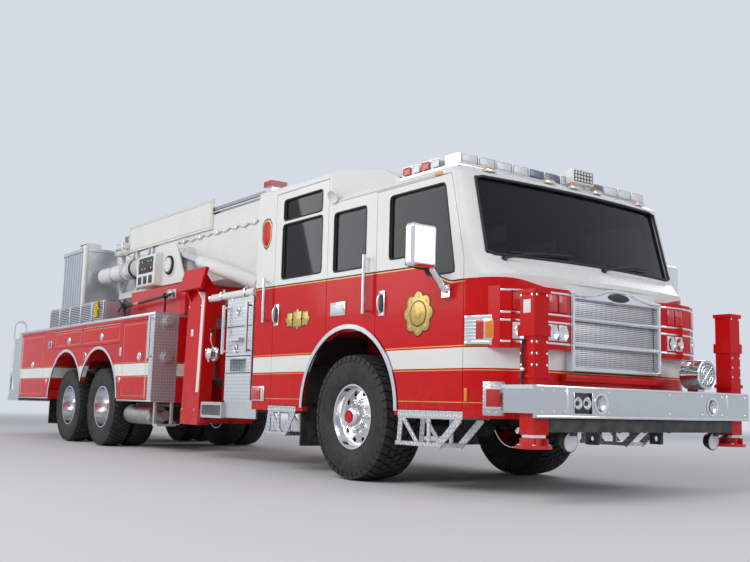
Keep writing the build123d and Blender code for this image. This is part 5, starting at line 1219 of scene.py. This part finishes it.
def boom_trim():
    """Sign borders, hose and cable runs, and the gear on the boom's right side."""
    piece = Piece("sign_borders", "boom_base")
    y = 505.2
    for piece.s in (-1, 1):
        for look, x0, x1, z0, z1, w, cap, y0, y1, bevel in (
                ("gold", -7055, -4295, 2925, 3275, 9, 9, y - 0.5, y + 1.2, 0),
                ("white", -7100, -4250, 2898, 3300, 8, 6, y - 1, y + 6, 2)):
            piece.boxes(*((look, a, b, y0, y1, low, high, bevel) for a, b, low, high in (
                (x0, x1, z0, z0 + w), (x0, x1, z1 - cap, z1), (x0, x0 + w, z0, z1), (x1 - w, x1, z0, z1))))
    piece.done()
    piece = Piece("boom_hose_run", "boom_base", "white_paint")
    run = [(-5300 + i * (2550 / 72), 496, 2835 + 14 * math.sin(i * 0.9) + 6 * math.sin(i * 0.31))
           for i in range(73)]
    for piece.s in (-1, 1):
        piece.tube("white", run, 13.5)
        for x in range(-5100, -3000, 500):
            piece.box("polished", x - 12, x + 12, 480, 512, 2810, 2862, 4)
    piece.done()
    piece = Piece("boom_cable_guards", "boom_base", "white_paint", s=-1)
    ribs = [(d + step, r) for d in range(0, 390, 26) for step, r in ((0, 34), (4, 46), (14, 46), (18, 34))]
    for z in (3020, 2920):
        piece.lathe("white", [(0, 0), *ribs, (400, 0)], (-7460, 545, z), (1, 0, -0.03), 18)
    piece.boxes(*(("polished", x - 10, x + 10, 480, 600, 2870, 3072, 3) for x in (-7420, -7140)))
    piece.done()
    piece = Piece("boom_cable_reel", "boom_base", "white_paint", s=-1)
    x, y, z = at = (-4970, 735, 2465)
    for look, profile in (("white", [(0, 150), (10, 152), (14, 140), (14, 128)]),
                          ("rubber", [(2, 132), (40, 128), (46, 118), (40, 108), (2, 104)]),
                          ("white", [(2, 106), (50, 100), (58, 90), (58, 0)])):
        piece.lathe(look, profile, at, segments=40)
    for c, d in circle(6):
        piece.lathe("polished", [(56, 10), (64, 9), (65, 0)], (x + 70 * c, y, z + 70 * d), segments=6)
    piece.bolts([(-5280, y, 2250), (-5280, y, 2680), (-4600, y, 2250), (-4600, y, 2620)], 14, -1, 9)
    piece.done()
    piece = Piece("boom_gear_trim", "boom_base", "white_paint", s=-1)
    for x, r in ((-7575, 132), (-7100, 134), (-6700, 134), (-6365, 153), (-6160, 153)):
        piece.lathe("brushed", [(-10, r - 2), (-8, r + 4), (8, r + 4), (10, r - 2)], (x, 660, 2555),
                    FORWARD, 36)
    piece.lathe("rubber", [(-45, 151), (-40, 155), (40, 155), (45, 151)], (-6262, 660, 2555), FORWARD, 40)
    face = 853.5
    piece.boxes(("plastic", -5800, -5300, 849, face, 2400, 2620, 1.5),
                *(("black", x, x + 120, 849, face, 2250, 2360, 1.2) for x in (-5800, -5620, -5440)))
    for j in range(2):
        for i in range(5):
            piece.lathe("polished" if (i + j) % 3 else "red", [(0, 14), (10, 13), (13, 0)],
                        (-5750 + i * 100, face, 2460 + j * 100), segments=12)
    piece.done()


def basket_trim():
    """Rails, plates, console and water nozzle of the rescue basket."""
    piece = Piece("basket_fittings", "basket")
    for piece.s in (-1, 1):
        for z in (2420, 2720):
            piece.rod("brushed", (-7800, 905, z), (-8720, 905, z), 14, 12)
        piece.box("tread", -8740, -7800, 20, 900, 2110.2, 2115, 1)
    piece.box("plastic", -9050, -8820, -300, 300, 2700, 2980, 20)
    for y in (-180, -60, 60, 180):
        piece.rod("polished", (-8860, y, 2975), (-8840, y, 3055), 8, 10)
        piece.lathe("black", [(-14, 0), (-8, 15), (10, 15), (16, 0)], (-8840, y, 3062), UP, 12)
    piece.lathe("red", [(0, 75), (20, 80), (50, 60), (90, 55), (110, 70), (130, 0)], (-9280, 0, 2720), UP)
    piece.bent("red", [(-9280, 0, 2830), (-9280, 0, 2950), (-9360, 0, 3030), (-9500, 0, 3050)], 40, 16)
    piece.lathe("polished", [(0, 42), (20, 48), (60, 44), (160, 32), (165, 26), (100, 20), (80, 0)],
                (-9480, 0, 3050), (-1, 0, 0.03), 24)
    piece.done()
    piece = Piece("basket_lamp_face", "basket", "white_paint", s=-1)
    piece.box("black", -8060, -7780, 939.5, 942.5, 3008, 3082, 1)
    for i in range(5):
        piece.lathe("lens_clear", [(0, 22), (4, 20), (7, 0)], (-8030 + i * 55, 942.2, 3045), segments=16)
    piece.done()


def tail_trim():
    """Lamp stacks, grab rails and small markers at the back."""
    piece = Piece("tail_fittings")
    x = -9735.2
    for piece.s in (-1, 1):
        for z, look in ((1575, "lens_red"), (1415, "lens_amber"), (1255, "lens_clear"), (870, "lens_red")):
            piece.boxes(("polished", x - 14, x + 2, 665, 835, z - 70, z + 70, 8),
                        (look, x - 24, x - 6, 681, 819, z - 56, z + 56, 10))
        piece.lathe("lens_red", [(0, 13), (6, 11), (9, 0)], (-10325.2, 1100, 1015), BACK, 16)
        piece.bent("polished", [(x + dx, 570, z) for dx, z in (
            (2, 1050), (-60, 1060), (-66, 1130), (-66, 1560), (-60, 1630), (2, 1640))], 14, 10)
        for z in (1050, 1640):
            piece.lathe("polished", [(-2, 30), (8, 28), (12, 18)], (x, 570, z), BACK, 20)
    piece.done()


for side in SIDES:
    for dress in (door_linings, cab_fittings, body_trim, tower_trim, leg_trim):
        dress(side)
for dress in (light_bar_trim, cab_inside, top_tools, boom_trim, basket_trim, tail_trim):
    dress()


# Stage, light and camera, in metres

BACKGROUND = rgb(0.66, 0.71, 0.78)


def seen_rays(g):
    """One for the rays that show the stage, zero for those that only carry its light."""
    rays = g.add("LightPath").node.outputs
    return g.fold("MAXIMUM", [rays[f"Is {kind} Ray"] for kind in ("Camera", "Glossy", "Transmission")])


def stage_floor():
    bm = bmesh.new()
    bmesh.ops.create_grid(bm, x_segments=1, y_segments=1, size=70)
    mesh = bpy.data.meshes.new("studio_floor")
    bm.to_mesh(mesh)
    bm.free()
    g = Graph("studio_floor_pale")
    g.set(Base_Color=rgb(0.70, 0.70, 0.70), Roughness=0.85)
    far = g.ramp(g.vec("LENGTH", g.coords(), out=1), 11.0, 32.0, kind="SMOOTHSTEP")
    haze = g.add("Emission", {"Color": BACKGROUND, "Strength": 1.0})
    cover = g.add("MixShader", [g.math("MULTIPLY", seen_rays(g), far), g.shader.outputs[0], haze])
    g.tree.links.new(cover, g.tree.nodes["Material Output"].inputs["Surface"])
    mesh.materials.append(g.mat)
    floor = bpy.data.objects.new("studio_floor", mesh)
    floor.location.z = -0.002
    bpy.context.scene.collection.objects.link(floor)


def area(name, place, target, size, power):
    data = bpy.data.lights.new(name, "AREA")
    data.shape, data.size, data.size_y = "RECTANGLE", size[0], size[1]
    data.energy = power
    light = bpy.data.objects.new(name, data)
    light.location = place
    light.rotation_euler = (Vector(target) - Vector(place)).to_track_quat("-Z", "Y").to_euler()
    bpy.context.scene.collection.objects.link(light)


def studio():
    world = bpy.data.worlds.new("studio")
    world.use_nodes = True
    bpy.context.scene.world = world
    g = Graph("", world.node_tree)
    background = g.tree.nodes["Background"]
    background.inputs[0].default_value = BACKGROUND
    g.tree.links.new(g.mixf(seen_rays(g), 0.45, 1.0), background.inputs[1])
    area("key", (7.0, -13.0, 10.0), (0.0, 0.0, 1.2), (9, 7), 1170)
    area("front_fill", (17.0, 4.0, 6.5), (3.0, 0.0, 1.2), (8, 6), 520)
    area("side_fill", (-7.0, -12.0, 6.0), (-3.0, 0.0, 1.2), (10, 6), 540)
    area("back_light", (-3.0, 13.0, 9.0), (-1.0, 0.0, 1.2), (12, 6), 420)


def camera():
    """Camera fitted to the photograph."""
    yaw, pitch, roll = (math.radians(v) for v in (143.596, 7.4708, 1.4246))
    forward = Vector((math.cos(pitch) * math.cos(yaw), math.cos(pitch) * math.sin(yaw), math.sin(pitch)))
    right = forward.cross(Vector((0, 0, 1))).normalized()
    up = right.cross(forward)
    c, s = math.cos(roll), math.sin(roll)
    data = bpy.data.cameras.new("photo_camera")
    data.lens = 937.43 / 750 * 36
    data.clip_end = 300
    cam = bpy.data.objects.new("photo_camera", data)
    turn = Matrix((c * right + s * up, -s * right + c * up, -forward)).transposed().to_4x4()
    cam.matrix_world = Matrix.Translation((10.8448, -5.9807, 0.6651)) @ turn
    bpy.context.scene.collection.objects.link(cam)
    bpy.context.scene.camera = cam


stage_floor()
studio()
camera()
bpy.context.scene.view_settings.view_transform = "Standard"
